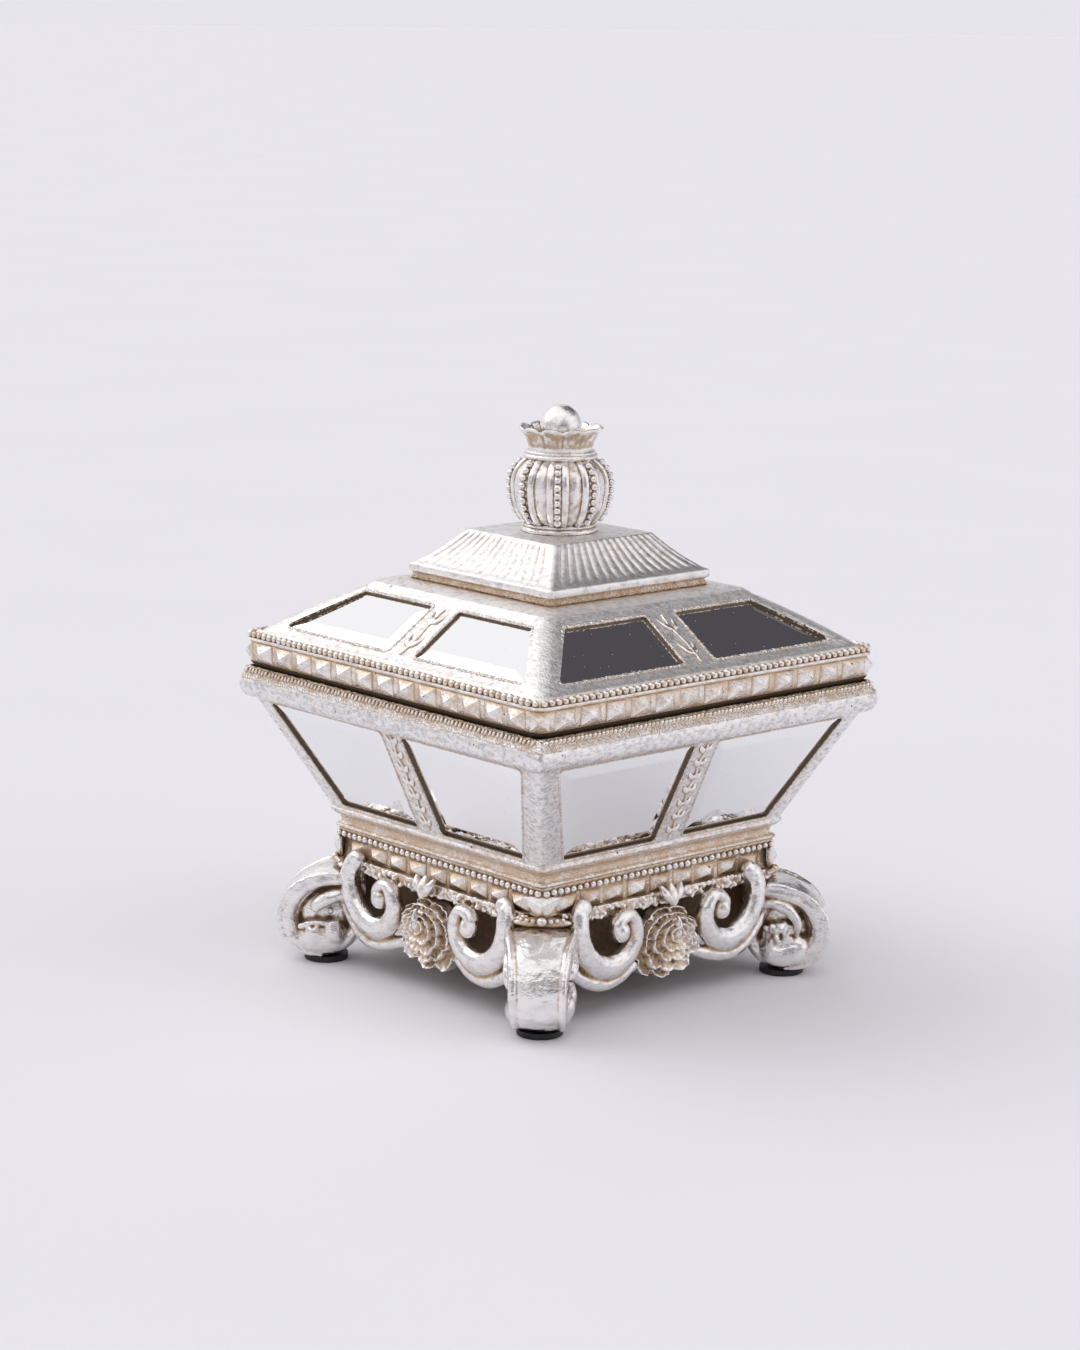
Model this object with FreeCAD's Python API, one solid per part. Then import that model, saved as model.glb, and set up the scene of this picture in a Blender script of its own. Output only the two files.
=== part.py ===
import FreeCAD, Part

import math
import os

from FreeCAD import Vector

# Vanity trinket box: a tapered, mirror-panelled body on four scroll feet, and a lift-off lid
# with sloping mirror panels, a stepped crown and a finial. All sizes are in millimetres.
# Origin: on the surface that the box stands on, under its middle. +Z is up, -Y is the front.
# The plan is square, so most heights are paired with a "half", the distance from the middle
# of the box to the middle of a side at that height.

# ---- driving dimensions -------------------------------------------------------------------
rim_half = 75.0              # outermost edge of the body's rolled rim
pad_diameter = 14.6
pad_height = 2.0
pad_half = 53.8              # each foot pad stands at (+-pad_half, +-pad_half)

plinth_bottom = 32.0
plinth_top = 46.0
plinth_half = 51.3
tray_floor = 4.0             # thickness of the plinth's floor plate

pane_thickness = 2.0
pane_gap = 0.25              # play between a pane's edge and its pocket
pane_backing = 2.5           # casting behind each pane
bevel_width = 4.5
bevel_depth = 0.7
lining_thickness = 1.5
lining_gap = 0.3             # between one lining panel and the next at a corner
lining_top_drop = 1.5        # the wall linings stop this far under the mouth
washer_play = 1.0            # between the washer and the lining cut out round it

# Body panes: the plane through a lower and an upper edge, and each half-pane's four corners.
body_pane_low = (53.7, 54.6)         # (half, height)
body_pane_high = (70.3, 88.2)
body_pane_low_span = (6.0, 45.0)     # from the middle of the side to the pane's two corners
body_pane_high_span = (5.0, 62.4)
body_frame_proud = 1.6               # frame bars stand this far out from the panes

rim_underside = 89.2
rim_crest = 96.6
rim_crest_half = 73.2
seat_height = 97.0                   # the lid rests here
seat_outer_half = 70.0
mouth_half = 66.0
mouth_bottom = 89.6

# Lid
lip_half = 64.0                      # the locating lip drops into the mouth, 2 mm clear
lip_bottom = 93.0
lip_inner_half = 61.0
lid_half = 74.2
lid_band_bottom = 100.6
lid_band_top = 108.6
lid_pane_low = (66.4, 113.4)
lid_pane_high = (47.7, 125.8)
lid_pane_low_span = (6.5, 59.6)
lid_pane_high_span = (6.3, 40.8)
lid_frame_proud = 1.2
lid_crown_height = 129.8             # flat top of the lid, under the tier
lid_crown_under = 125.0

# Fluted tier and finial
tier_half = 35.1
tier_band_top = 135.4
tier_chamfer = 1.5
tier_top_half = 21.5
tier_top = 146.5
finial_base_radius = 12.5
finial_base_top = 149.3
finial_base_chamfer = (1.2, 1.0)     # in radius and in height
bulb_radius = 15.8
bulb_middle = 161.0
bulb_top = 170.4
bulb_top_radius = 10.8
collar_radius = 12.2
collar_top = 173.2
neck_radius = 8.0
crown_radius = 13.9
crown_top = 180.0
cup_floor = 174.8
cup_lip = 1.4
cap_radius = 6.9
cap_top = 187.7

# Stud that holds the finial, with its washer and nut under the lid
stud_radius = 2.5
stud_clearance = 0.3
stud_bottom = 117.0
stud_top = 178.5
washer_radius = 8.0
washer_thickness = 1.2
nut_across_flats = 8.0
nut_height = 4.0

# Scroll feet, drawn in the upright plane through a corner's diagonal
foot_reach = 92.3                    # outermost point, measured along the diagonal
foot_width = 15.0
foot_boss_width = 22.0
foot_boss_radius = 5.5
foot_groove = (7.0, 11.0)            # inner and outer radius of the groove round the boss
foot_groove_depth = 3.0
foot_root = (62.0, 74.0)             # where the foot meets the underside of the plinth
foot_root_bottom = 24.0
foot_clearance = 1.0                 # from the top of the scroll to the plinth
pad_chamfer = 0.3

# Aprons between the feet
apron_thickness = 5.0
apron_strip = (33.0, 37.0)           # heights of the plain strip that ties it together
apron_strip_half = 44.0
flower_radius = 15.0
flower_height = 24.5
flower_relief = 7.0
flower_rounding = 3.0
scroll_outer = 13.0
scroll_band = 5.5
scroll_centre = (27.5, 25.5)         # from the middle of the side, and height
scroll_mouth_width = 11.0
curl_radius = 3.6
curl_inset = 1.5                     # the curl stands this far past the mouth's edge
curl_relief = 1.5

SIDES = {"front": 0, "right": 90, "back": 180, "left": 270}
CORNERS = {"front_right": -45, "back_right": 45, "back_left": 135, "front_left": 225}


# ---- helpers ------------------------------------------------------------------------------
def turned(shape, degrees):
    """A copy of a shape turned about the box's upright axis."""
    copy = shape.copy()
    copy.rotate(Vector(0, 0, 0), Vector(0, 0, 1), degrees)
    return copy


def joined(shapes):
    """One solid from several that touch or overlap."""
    return shapes[0].multiFuse(shapes[1:]).removeSplitter()


def outline_wire(steps, place):
    """Closed wire. A step is a point (u, v), or (u, v, through_u, through_v) for an arc."""
    edges = []
    start = place(*steps[0][:2])
    for step in steps[1:] + steps[:1]:
        end = place(*step[:2])
        if len(step) == 4:
            edges.append(Part.Arc(start, place(*step[2:]), end).toShape())
        else:
            edges.append(Part.makeLine(start, end))
        start = end
    return Part.Wire(edges)


def front_quarter(steps, gap=0.0):
    """A (half, height) outline run along the front side and cut off at the two diagonals.
    The cut stays a gap short of each diagonal plane."""
    reach = 2 * rim_half
    section = Part.Face(outline_wire(steps, lambda half, height: Vector(-reach, -half, height)))
    bar = section.extrude(Vector(2 * reach, 0, 0))
    corners = [Vector(0, 0, -reach), Vector(-reach, -reach, -reach), Vector(reach, -reach, -reach)]
    wedge = Part.Face(Part.makePolygon(corners + corners[:1])).extrude(Vector(0, 0, 3 * reach))
    wedge.translate(Vector(0, -gap * math.sqrt(2), 0))
    return bar.common(wedge)


def mitred(steps):
    """Solid made by running a (half, height) outline round a square, with mitred corners."""
    quarter = front_quarter(steps)
    return joined([turned(quarter, angle) for angle in SIDES.values()])


def turned_solid(steps):
    """Solid of revolution about the box's axis from a (radius, height) outline."""
    section = Part.Face(outline_wire(steps, lambda radius, height: Vector(radius, 0, height)))
    return section.revolve(Vector(0, 0, 0), Vector(0, 0, 1), 360)


def upright_cylinder(radius, bottom, top):
    return Part.makeCylinder(radius, top - bottom, Vector(0, 0, bottom))


def half_at(low, high, height):
    """Half of the box on the plane through two (half, height) edges."""
    return low[0] + (high[0] - low[0]) * (height - low[1]) / (high[1] - low[1])


def height_at(low, high, half):
    """Height on the plane through two (half, height) edges."""
    return low[1] + (high[1] - low[1]) * (half - low[0]) / (high[0] - low[0])


def inset(points, distance):
    """A convex outline moved inwards by a distance, or outwards by a negative one."""
    count = len(points)
    middle_u = sum(point[0] for point in points) / count
    middle_v = sum(point[1] for point in points) / count
    lines = []
    for index in range(count):
        (u0, v0), (u1, v1) = points[index], points[(index + 1) % count]
        length = math.hypot(u1 - u0, v1 - v0)
        normal_u, normal_v = (v0 - v1) / length, (u1 - u0) / length
        towards_middle = (middle_u - u0) * normal_u + (middle_v - v0) * normal_v
        if towards_middle < 0:
            normal_u, normal_v = -normal_u, -normal_v
        lines.append((normal_u, normal_v, normal_u * u0 + normal_v * v0 + distance))
    result = []
    for index in range(count):
        (a0, b0, c0), (a1, b1, c1) = lines[index - 1], lines[index]
        scale = a0 * b1 - a1 * b0
        result.append(((c0 * b1 - c1 * b0) / scale, (a0 * c1 - a1 * c0) / scale))
    return result


class SlopingFace:
    """The plane of a side's panes, as (across, up the slope) on the front side."""

    def __init__(self, low, high):
        rise = Vector(0, -(high[0] - low[0]), high[1] - low[1])
        self.slant = rise.Length
        self.up = rise.normalize()
        self.start = Vector(0, -low[0], low[1])
        self.outward = Vector(1, 0, 0).cross(self.up)

    def point(self, across, up, out=0.0):
        return self.start + Vector(across, 0, 0) + self.up * up + self.outward * out

    def wire(self, points, out=0.0):
        corners = [self.point(across, up, out) for across, up in points]
        return Part.makePolygon(corners + corners[:1])

    def prism(self, points, out_from, out_to):
        """The outline pushed through the plane, from one distance out to another."""
        base = Part.Face(self.wire(points, out_from))
        return base.extrude(self.outward * (out_to - out_from))


BODY_FACE = SlopingFace(body_pane_low, body_pane_high)
LID_FACE = SlopingFace(lid_pane_low, lid_pane_high)


def pane_outline(face, low_span, high_span, hand):
    """Corners of one half-pane. hand is +1 towards +X on the front side, -1 towards -X."""
    return [(hand * low_span[0], 0), (hand * low_span[1], 0),
            (hand * high_span[1], face.slant), (hand * high_span[0], face.slant)]


def mirror_pane(face, outline):
    """Glass pane with a polished bevel round its outer face."""
    plate = face.prism(outline, -pane_thickness, -bevel_depth)
    bevel = Part.makeLoft([face.wire(outline, -bevel_depth), face.wire(inset(outline, bevel_width))],
                          True, True)
    return joined([plate, bevel])


def pane_pockets(face, low_span, high_span):
    """Tools that cut both half-panes' pockets on all four sides of a frame."""
    tools = []
    for hand in (-1, 1):
        outline = inset(pane_outline(face, low_span, high_span, hand), -pane_gap)
        pocket = face.prism(outline, -pane_thickness, rim_half)
        tools += [turned(pocket, angle) for angle in SIDES.values()]
    return tools


def plane_offset(low, high, distance):
    """How far a sloping plane's (half at a height, height at a half) move when it moves outwards."""
    slant = math.hypot(high[0] - low[0], high[1] - low[1])
    return (distance * slant / abs(high[1] - low[1]), distance * slant / abs(high[0] - low[0]))


# ---- body ---------------------------------------------------------------------------------
def body_outer_half(height):
    shift = plane_offset(body_pane_low, body_pane_high, body_frame_proud)[0]
    return half_at(body_pane_low, body_pane_high, height) + shift


def body_inner_half(height):
    shift = plane_offset(body_pane_low, body_pane_high, pane_thickness + pane_backing)[0]
    return half_at(body_pane_low, body_pane_high, height) - shift


def body_frame():
    """Tapered casting: bars round the panes, the wall behind them and the rolled rim."""
    seat_step = 0.6
    frame = mitred([
        (body_inner_half(plinth_top), plinth_top),
        (body_outer_half(plinth_top), plinth_top),
        (body_outer_half(rim_underside), rim_underside),
        (rim_crest_half, rim_crest, rim_half, (rim_underside + rim_crest) / 2),
        (seat_outer_half + seat_step, seat_height - seat_step),
        (seat_outer_half, seat_height),
        (mouth_half, seat_height),
        (mouth_half, mouth_bottom),
    ])
    return frame.cut(pane_pockets(BODY_FACE, body_pane_low_span, body_pane_high_span))


def base_plinth():
    """Square tray under the body: studded outer band and the box's floor."""
    inner = body_inner_half(plinth_top)
    floor = plinth_bottom + tray_floor
    foot_chamfer = 1.0
    return mitred([
        (0, plinth_bottom),
        (plinth_half - foot_chamfer, plinth_bottom),
        (plinth_half, plinth_bottom + foot_chamfer),
        (plinth_half, plinth_top),
        (inner, plinth_top),
        (inner, floor),
        (0, floor),
    ])


def foot():
    """One scroll foot, drawn along +X and then turned to its corner."""
    radius = (plinth_bottom - pad_height - foot_clearance) / 2
    centre = Vector(foot_reach - radius, 0, pad_height + radius)
    across = Vector(0, 1, 0)

    def drum(drum_radius, width):
        start = centre - across * (width / 2)
        return Part.makeCylinder(drum_radius, width, start, across)

    root_height = plinth_bottom - foot_root_bottom
    root = Part.makeBox(foot_root[1] - foot_root[0], foot_width, root_height,
                        Vector(foot_root[0], -foot_width / 2, foot_root_bottom))
    sole_length = pad_diameter
    sole = Part.makeBox(sole_length, foot_width, radius / 2,
                        Vector(pad_half * math.sqrt(2) - sole_length / 2, -foot_width / 2, pad_height))
    scroll = joined([drum(radius, foot_width), root, sole])
    ring = drum(foot_groove[1], foot_boss_width).cut(drum(foot_groove[0], foot_boss_width))
    web_width = foot_width - 2 * foot_groove_depth
    web = drum(foot_groove[1], web_width)
    grooved = scroll.cut(ring.cut(web))
    return joined([grooved, drum(foot_boss_radius, foot_boss_width)])


def foot_pad():
    start = Vector(pad_half * math.sqrt(2), 0, 0)
    pad = Part.makeCylinder(pad_diameter / 2, pad_height, start)
    lower_rim = [edge for edge in pad.Edges if edge.Closed and edge.BoundBox.ZMax < pad_height / 2]
    return pad.makeChamfer(pad_chamfer, lower_rim)


def scroll_half(hand):
    """A C-scroll, open at the top, on one side of the apron's flower."""
    place = Vector(hand * scroll_centre[0], -plinth_half, scroll_centre[1])
    outwards = Vector(0, -1, 0)
    ring = Part.makeCylinder(scroll_outer, apron_thickness, place, outwards)
    hole = Part.makeCylinder(scroll_outer - scroll_band, apron_thickness, place, outwards)
    mouth_corner = Vector(place.x - scroll_mouth_width / 2, -plinth_half - apron_thickness, place.z)
    mouth = Part.makeBox(scroll_mouth_width, apron_thickness, scroll_outer, mouth_corner)
    curl_shift = scroll_mouth_width / 2 + curl_inset
    curl_place = place + Vector(-hand * curl_shift, 0, scroll_outer - scroll_band)
    curl = Part.makeCylinder(curl_radius, apron_thickness + curl_relief, curl_place, outwards)
    return joined([ring.cut(hole).cut(mouth), curl])


def apron():
    """Openwork skirt of one side: strip, two C-scrolls and the flower between them."""
    strip = Part.makeBox(2 * apron_strip_half, apron_thickness, apron_strip[1] - apron_strip[0],
                         Vector(-apron_strip_half, -plinth_half - apron_thickness, apron_strip[0]))
    flower_place = Vector(0, -plinth_half, flower_height)
    flower = Part.makeCylinder(flower_radius, flower_relief, flower_place, Vector(0, -1, 0))
    front_rim = [edge for edge in flower.Edges
                 if edge.Closed and edge.BoundBox.YMax < -plinth_half - flower_relief / 2]
    flower = flower.makeFillet(flower_rounding, front_rim)
    return joined([strip, flower, scroll_half(-1), scroll_half(1)])


def body_wall_lining():
    """Felt-covered panel on one wall, from the floor lining up to just under the mouth."""
    bottom = plinth_bottom + tray_floor + lining_thickness
    top = mouth_bottom - lining_top_drop
    inward = plane_offset(body_pane_low, body_pane_high, lining_thickness)[0]
    low_half = body_inner_half(plinth_top)
    high_half = body_inner_half(top)
    return front_quarter([
        (low_half, bottom),
        (low_half, plinth_top),
        (high_half, top),
        (high_half - inward, top),
        (low_half - inward, plinth_top),
        (low_half - inward, bottom),
    ], lining_gap)


def floor_lining():
    half = body_inner_half(plinth_top) - lining_gap
    floor = plinth_bottom + tray_floor
    return Part.makeBox(2 * half, 2 * half, lining_thickness, Vector(-half, -half, floor))


# ---- lid ----------------------------------------------------------------------------------
def lid_outer_height(half):
    shift = plane_offset(lid_pane_low, lid_pane_high, lid_frame_proud)[1]
    return height_at(lid_pane_low, lid_pane_high, half) + shift


def lid_inner_height(half):
    shift = plane_offset(lid_pane_low, lid_pane_high, pane_thickness + pane_backing)[1]
    return height_at(lid_pane_low, lid_pane_high, half) - shift


def lid_inner_half(height):
    """Half of the lid's inside at a height on its sloping underside."""
    shift = plane_offset(lid_pane_low, lid_pane_high, pane_thickness + pane_backing)[0]
    return half_at(lid_pane_low, lid_pane_high, height) - shift


def hip_bar():
    """Rounded rib along the lid's front-right hip, from the band up to the tier."""
    stations = [(71.6, 110.6), (58.0, 119.9), (46.2, 127.4), (38.2, 129.0)]
    radius = 2.6
    points = [Vector(half, -half, height) for half, height in stations]
    balls = [Part.makeSphere(radius, point) for point in points]
    rods = []
    for start, end in zip(points, points[1:]):
        rods.append(Part.makeCylinder(radius, (end - start).Length, start, end - start))
    return joined(rods + balls)


def lid_frame():
    """Lid casting: locating lip, studded band, hip-roof frame round the panes, flat top."""
    shoulder_half = 46.2
    eaves_half = 70.2
    seat_edge = (69.6, seat_height)
    band_chamfer = (70.9, 97.7)
    bead_half = 72.6
    bead_height = 110.2
    shell = mitred([
        (0, lid_crown_height),
        (tier_half, lid_crown_height),
        (shoulder_half, lid_outer_height(shoulder_half)),
        (eaves_half, lid_outer_height(eaves_half)),
        (bead_half, bead_height),
        (lid_half, lid_band_top),
        (lid_half, lid_band_bottom),
        band_chamfer,
        seat_edge,
        (lip_half, seat_height),
        (lip_half, lip_bottom),
        (lip_inner_half, lip_bottom),
        (lip_inner_half, lid_inner_height(lip_inner_half)),
        (lid_inner_half(lid_crown_under), lid_crown_under),
        (0, lid_crown_under),
    ])
    bars = [turned(hip_bar(), angle) for angle in SIDES.values()]
    shell = joined([shell] + bars)
    hole = upright_cylinder(stud_radius + stud_clearance, lid_crown_under, lid_crown_height + 1)
    pockets = pane_pockets(LID_FACE, lid_pane_low_span, lid_pane_high_span)
    return shell.cut(pockets + [hole])


def crown_tier():
    """Fluted square tier on top of the lid, with a hole for the finial's stud."""
    block = mitred([
        (0, lid_crown_height),
        (tier_half, lid_crown_height),
        (tier_half, tier_band_top - tier_chamfer),
        (tier_half - tier_chamfer, tier_band_top),
        (tier_top_half, tier_top),
        (0, tier_top),
    ])
    return block.cut(upright_cylinder(stud_radius + stud_clearance, lid_crown_height, tier_top))


def lid_lining_top():
    """Felt square under the lid's flat top, cut out round the washer."""
    half = lid_inner_half(lid_crown_under) - lining_thickness - lining_gap
    square = Part.makeBox(2 * half, 2 * half, lining_thickness,
                          Vector(-half, -half, lid_crown_under - lining_thickness))
    bottom = lid_crown_under - lining_thickness
    return square.cut(upright_cylinder(washer_radius + washer_play, bottom, lid_crown_under))


def lid_wall_lining():
    """Felt panel under one sloping side of the lid."""
    top = lid_crown_under - 2 * lining_thickness
    bottom = lid_inner_height(lip_inner_half) + lining_gap
    drop = plane_offset(lid_pane_low, lid_pane_high, lining_thickness)[0]
    return front_quarter([
        (lid_inner_half(bottom), bottom),
        (lid_inner_half(top), top),
        (lid_inner_half(top) - drop, top),
        (lid_inner_half(bottom) - drop, bottom),
    ], lining_gap)


# ---- finial -------------------------------------------------------------------------------
def finial_piece(steps, bottom, top):
    """A turned piece of the finial with the stud's hole through it."""
    return turned_solid(steps).cut(upright_cylinder(stud_radius + stud_clearance, bottom, top))


def finial_base():
    return finial_piece([
        (0, tier_top),
        (finial_base_radius, tier_top),
        (finial_base_radius, finial_base_top - finial_base_chamfer[1]),
        (finial_base_radius - finial_base_chamfer[0], finial_base_top),
        (0, finial_base_top),
    ], tier_top, finial_base_top)


def finial_bulb():
    foot_radius = 11.0
    low_through = (14.4, 154.0)
    high_through = (14.6, 166.4)
    return finial_piece([
        (0, finial_base_top),
        (foot_radius, finial_base_top),
        (bulb_radius, bulb_middle, *low_through),
        (bulb_top_radius, bulb_top, *high_through),
        (0, bulb_top),
    ], finial_base_top, bulb_top)


def finial_crown():
    """Collar ring with the flared cup that holds the cap."""
    collar_middle = (bulb_top + collar_top) / 2
    return finial_piece([
        (0, bulb_top),
        (collar_radius - 1, bulb_top),
        (collar_radius - 1, collar_top, collar_radius, collar_middle),
        (neck_radius, collar_top),
        (crown_radius, crown_top, 9.6, 177.6),
        (crown_radius - cup_lip, crown_top),
        (neck_radius - 1, cup_floor, 9.0, 177.4),
        (0, cup_floor),
    ], bulb_top, cup_floor)


def finial_cap():
    """Egg-shaped cap that screws onto the end of the stud: a dome on a rounded seat."""
    equator = cap_top - cap_radius
    slant = cap_radius * math.sqrt(0.5)
    egg = turned_solid([
        (0, cup_floor),
        (cap_radius - 2, cup_floor),
        (cap_radius, equator, cap_radius - 0.5, cup_floor + 2.6),
        (0, cap_top, slant, equator + slant),
    ])
    return egg.cut(upright_cylinder(stud_radius, cup_floor, stud_top))


def finial_screw():
    return upright_cylinder(stud_radius, stud_bottom, stud_top)


def finial_washer():
    bottom = lid_crown_under - washer_thickness
    disc = upright_cylinder(washer_radius, bottom, lid_crown_under)
    return disc.cut(upright_cylinder(stud_radius + stud_clearance, bottom, lid_crown_under))


def finial_nut():
    top = lid_crown_under - washer_thickness
    corner_radius = nut_across_flats / math.sqrt(3)
    corners = [Vector(corner_radius * math.cos(math.radians(60 * side)),
                      corner_radius * math.sin(math.radians(60 * side)), top - nut_height)
               for side in range(6)]
    hexagon = Part.Face(Part.makePolygon(corners + corners[:1])).extrude(Vector(0, 0, nut_height))
    return hexagon.cut(upright_cylinder(stud_radius, top - nut_height, top))


# ---- the whole box ------------------------------------------------------------------------
def all_pieces():
    pieces = {
        "body_frame": body_frame(),
        "base_plinth": base_plinth(),
        "floor_lining": floor_lining(),
        "lid_frame": lid_frame(),
        "crown_tier": crown_tier(),
        "lid_lining_top": lid_lining_top(),
        "finial_base": finial_base(),
        "finial_bulb": finial_bulb(),
        "finial_crown": finial_crown(),
        "finial_cap": finial_cap(),
        "finial_screw": finial_screw(),
        "finial_washer": finial_washer(),
        "finial_nut": finial_nut(),
    }
    body_outlines = {"left": pane_outline(BODY_FACE, body_pane_low_span, body_pane_high_span, -1),
                     "right": pane_outline(BODY_FACE, body_pane_low_span, body_pane_high_span, 1)}
    lid_outlines = {"left": pane_outline(LID_FACE, lid_pane_low_span, lid_pane_high_span, -1),
                    "right": pane_outline(LID_FACE, lid_pane_low_span, lid_pane_high_span, 1)}
    for side, angle in SIDES.items():
        for hand in ("left", "right"):
            body_pane = mirror_pane(BODY_FACE, body_outlines[hand])
            lid_pane = mirror_pane(LID_FACE, lid_outlines[hand])
            pieces["body_mirror_" + side + "_" + hand] = turned(body_pane, angle)
            pieces["lid_mirror_" + side + "_" + hand] = turned(lid_pane, angle)
        pieces["apron_" + side] = turned(apron(), angle)
        pieces["wall_lining_" + side] = turned(body_wall_lining(), angle)
        pieces["lid_lining_" + side] = turned(lid_wall_lining(), angle)
    for corner, angle in CORNERS.items():
        pieces["foot_" + corner] = turned(foot(), angle)
        pieces["foot_pad_" + corner] = turned(foot_pad(), angle)
    return pieces


os.makedirs("parts", exist_ok=True)
for name, shape in all_pieces().items():
    box = shape.BoundBox
    print(name, len(shape.Solids), "solid", "valid" if shape.isValid() else "NOT VALID",
          "z", round(box.ZMin, 2), round(box.ZMax, 2), "volume", round(shape.Volume))
    shape.exportStep("parts/" + name + ".step")
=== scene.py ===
import math
import random

import bpy
import numpy as np
from mathutils import Matrix, Vector, noise


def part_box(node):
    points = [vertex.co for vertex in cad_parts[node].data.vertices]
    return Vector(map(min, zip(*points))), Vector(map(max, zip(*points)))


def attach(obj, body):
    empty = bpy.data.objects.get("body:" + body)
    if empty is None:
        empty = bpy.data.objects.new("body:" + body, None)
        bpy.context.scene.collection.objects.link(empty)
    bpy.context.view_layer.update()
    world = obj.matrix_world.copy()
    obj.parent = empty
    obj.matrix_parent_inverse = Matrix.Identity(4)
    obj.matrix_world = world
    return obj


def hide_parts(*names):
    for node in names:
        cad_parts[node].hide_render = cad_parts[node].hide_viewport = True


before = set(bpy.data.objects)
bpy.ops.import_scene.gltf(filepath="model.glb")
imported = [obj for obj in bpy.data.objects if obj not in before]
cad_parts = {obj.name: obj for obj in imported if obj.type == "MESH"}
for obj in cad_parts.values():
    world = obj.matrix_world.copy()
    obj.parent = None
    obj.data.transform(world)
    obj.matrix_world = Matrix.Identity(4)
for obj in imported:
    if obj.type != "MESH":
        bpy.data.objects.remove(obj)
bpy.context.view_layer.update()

# The looks of the vanity trinket box. Shapes are worked out in millimetres, in the frame's own
# axes, and turned into metres when an object is made. Points on a side are first placed on the
# front side (-Y) and then turned about +Z to the other three.

MM = 0.001
SIDES = {"front": 0, "right": 90, "back": 180, "left": 270}
PANE_PLACES = [side + "_" + hand for side in SIDES for hand in ("left", "right")]
CORNERS = {"front_right": -45, "back_right": 45, "back_left": 135, "front_left": 225}
chance = random.Random(11)


def node_box(name):
    """Lowest and highest corner of a CAD node, in millimetres."""
    low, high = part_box(name)
    return np.array(low) / MM, np.array(high) / MM


# ---- sizes read from the frame ------------------------------------------------------------
rim_half = node_box("body_frame")[1][0]
seat_height = node_box("body_frame")[1][2]
plinth_half = node_box("base_plinth")[1][0]
plinth_bottom, plinth_top = node_box("base_plinth")[0][2], node_box("base_plinth")[1][2]
lip_bottom = node_box("lid_frame")[0][2]
tier_half = node_box("crown_tier")[1][0]
tier_bottom, tier_top = node_box("crown_tier")[0][2], node_box("crown_tier")[1][2]
disc_radius = node_box("finial_base")[1][0]
disc_top = node_box("finial_base")[1][2]
bulb_radius = node_box("finial_bulb")[1][0]
bulb_top = node_box("finial_bulb")[1][2]
crown_top = node_box("finial_crown")[1][2]
cap_radius = node_box("finial_cap")[1][0]
cap_top = node_box("finial_cap")[1][2]


# ---- mesh building ------------------------------------------------------------------------
def merged(parts):
    """One (points, faces) pair from several."""
    points, faces, count = [], [], 0
    for part_points, part_faces in parts:
        points.append(np.asarray(part_points, float))
        faces += [tuple(index + count for index in face) for face in part_faces]
        count += len(part_points)
    return np.vstack(points), faces


def moved(part, offset=(0, 0, 0), turn=0.0, matrix=None):
    """A copy of a part, turned about +Z by degrees or by a 3x3 matrix, then shifted."""
    points = np.asarray(part[0], float)
    if matrix is None:
        matrix = Matrix.Rotation(math.radians(turn), 3, "Z")
    return points @ np.array(matrix).T + np.array(offset, float), part[1]


def grid_faces(rows, columns, close_rows=False, close_columns=False):
    faces = []
    for row in range(rows if close_rows else rows - 1):
        for column in range(columns if close_columns else columns - 1):
            next_row, next_column = (row + 1) % rows, (column + 1) % columns
            faces.append((row * columns + column, row * columns + next_column,
                          next_row * columns + next_column, next_row * columns + column))
    return faces


def capped(faces, rows, columns):
    """The grid's faces, with its first and last row closed by one face each."""
    return faces + [tuple(range(columns))[::-1],
                    tuple(range((rows - 1) * columns, rows * columns))]


def unit(rows):
    """Each row scaled to length 1."""
    return rows / np.linalg.norm(rows, axis=1)[:, None]


def curve(control, count):
    """Points on a smooth curve through the control rows, with any further columns too."""
    control = np.array(control, float)
    ends = np.vstack([2 * control[0] - control[1], control, 2 * control[-1] - control[-2]])
    spans = len(control) - 1
    result = []
    for value in np.linspace(0, spans, count):
        span = min(int(value), spans - 1)
        t = value - span
        p0, p1, p2, p3 = ends[span:span + 4]
        result.append(0.5 * (2 * p1 + (p2 - p0) * t + (2 * p0 - 5 * p1 + 4 * p2 - p3) * t ** 2
                             + (3 * p1 - p0 - 3 * p2 + p3) * t ** 3))
    return np.array(result)


def tube(path, across, depth, reference, sides=16):
    """Closed tube along a path. across and depth are its half-sizes, depth along reference."""
    path = np.asarray(path, float)
    count = len(path)
    across, depth = np.broadcast_to(across, count), np.broadcast_to(depth, count)
    tangent = unit(np.gradient(path, axis=0))
    side = unit(np.cross(tangent, np.asarray(reference, float)))
    out = np.cross(side, tangent)
    points = []
    for index in range(count):
        for step in range(sides):
            angle = 2 * math.pi * step / sides
            points.append(path[index] + side[index] * across[index] * math.cos(angle)
                          + out[index] * depth[index] * math.sin(angle))
    faces = capped(grid_faces(count, sides, close_columns=True), count, sides)
    return np.array(points), faces


def ball(centre, radius, rings=8, sectors=12):
    """Ellipsoid; radius is a number or three half-sizes."""
    radius = np.broadcast_to(radius, 3)
    points = [(0, 0, -1)]
    for ring in range(1, rings):
        angle = math.pi * ring / rings - math.pi / 2
        for sector in range(sectors):
            turn = 2 * math.pi * sector / sectors
            points.append((math.cos(angle) * math.cos(turn), math.cos(angle) * math.sin(turn),
                           math.sin(angle)))
    points.append((0, 0, 1))
    last = len(points) - 1
    faces = [(0, 1 + (sector + 1) % sectors, 1 + sector) for sector in range(sectors)]
    for ring in range(rings - 2):
        start = 1 + ring * sectors
        for sector in range(sectors):
            next_sector = (sector + 1) % sectors
            faces.append((start + sector, start + next_sector,
                          start + sectors + next_sector, start + sectors + sector))
    start = 1 + (rings - 2) * sectors
    faces += [(last, start + sector, start + (sector + 1) % sectors) for sector in range(sectors)]
    return np.array(points) * radius + np.array(centre, float), faces


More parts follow.
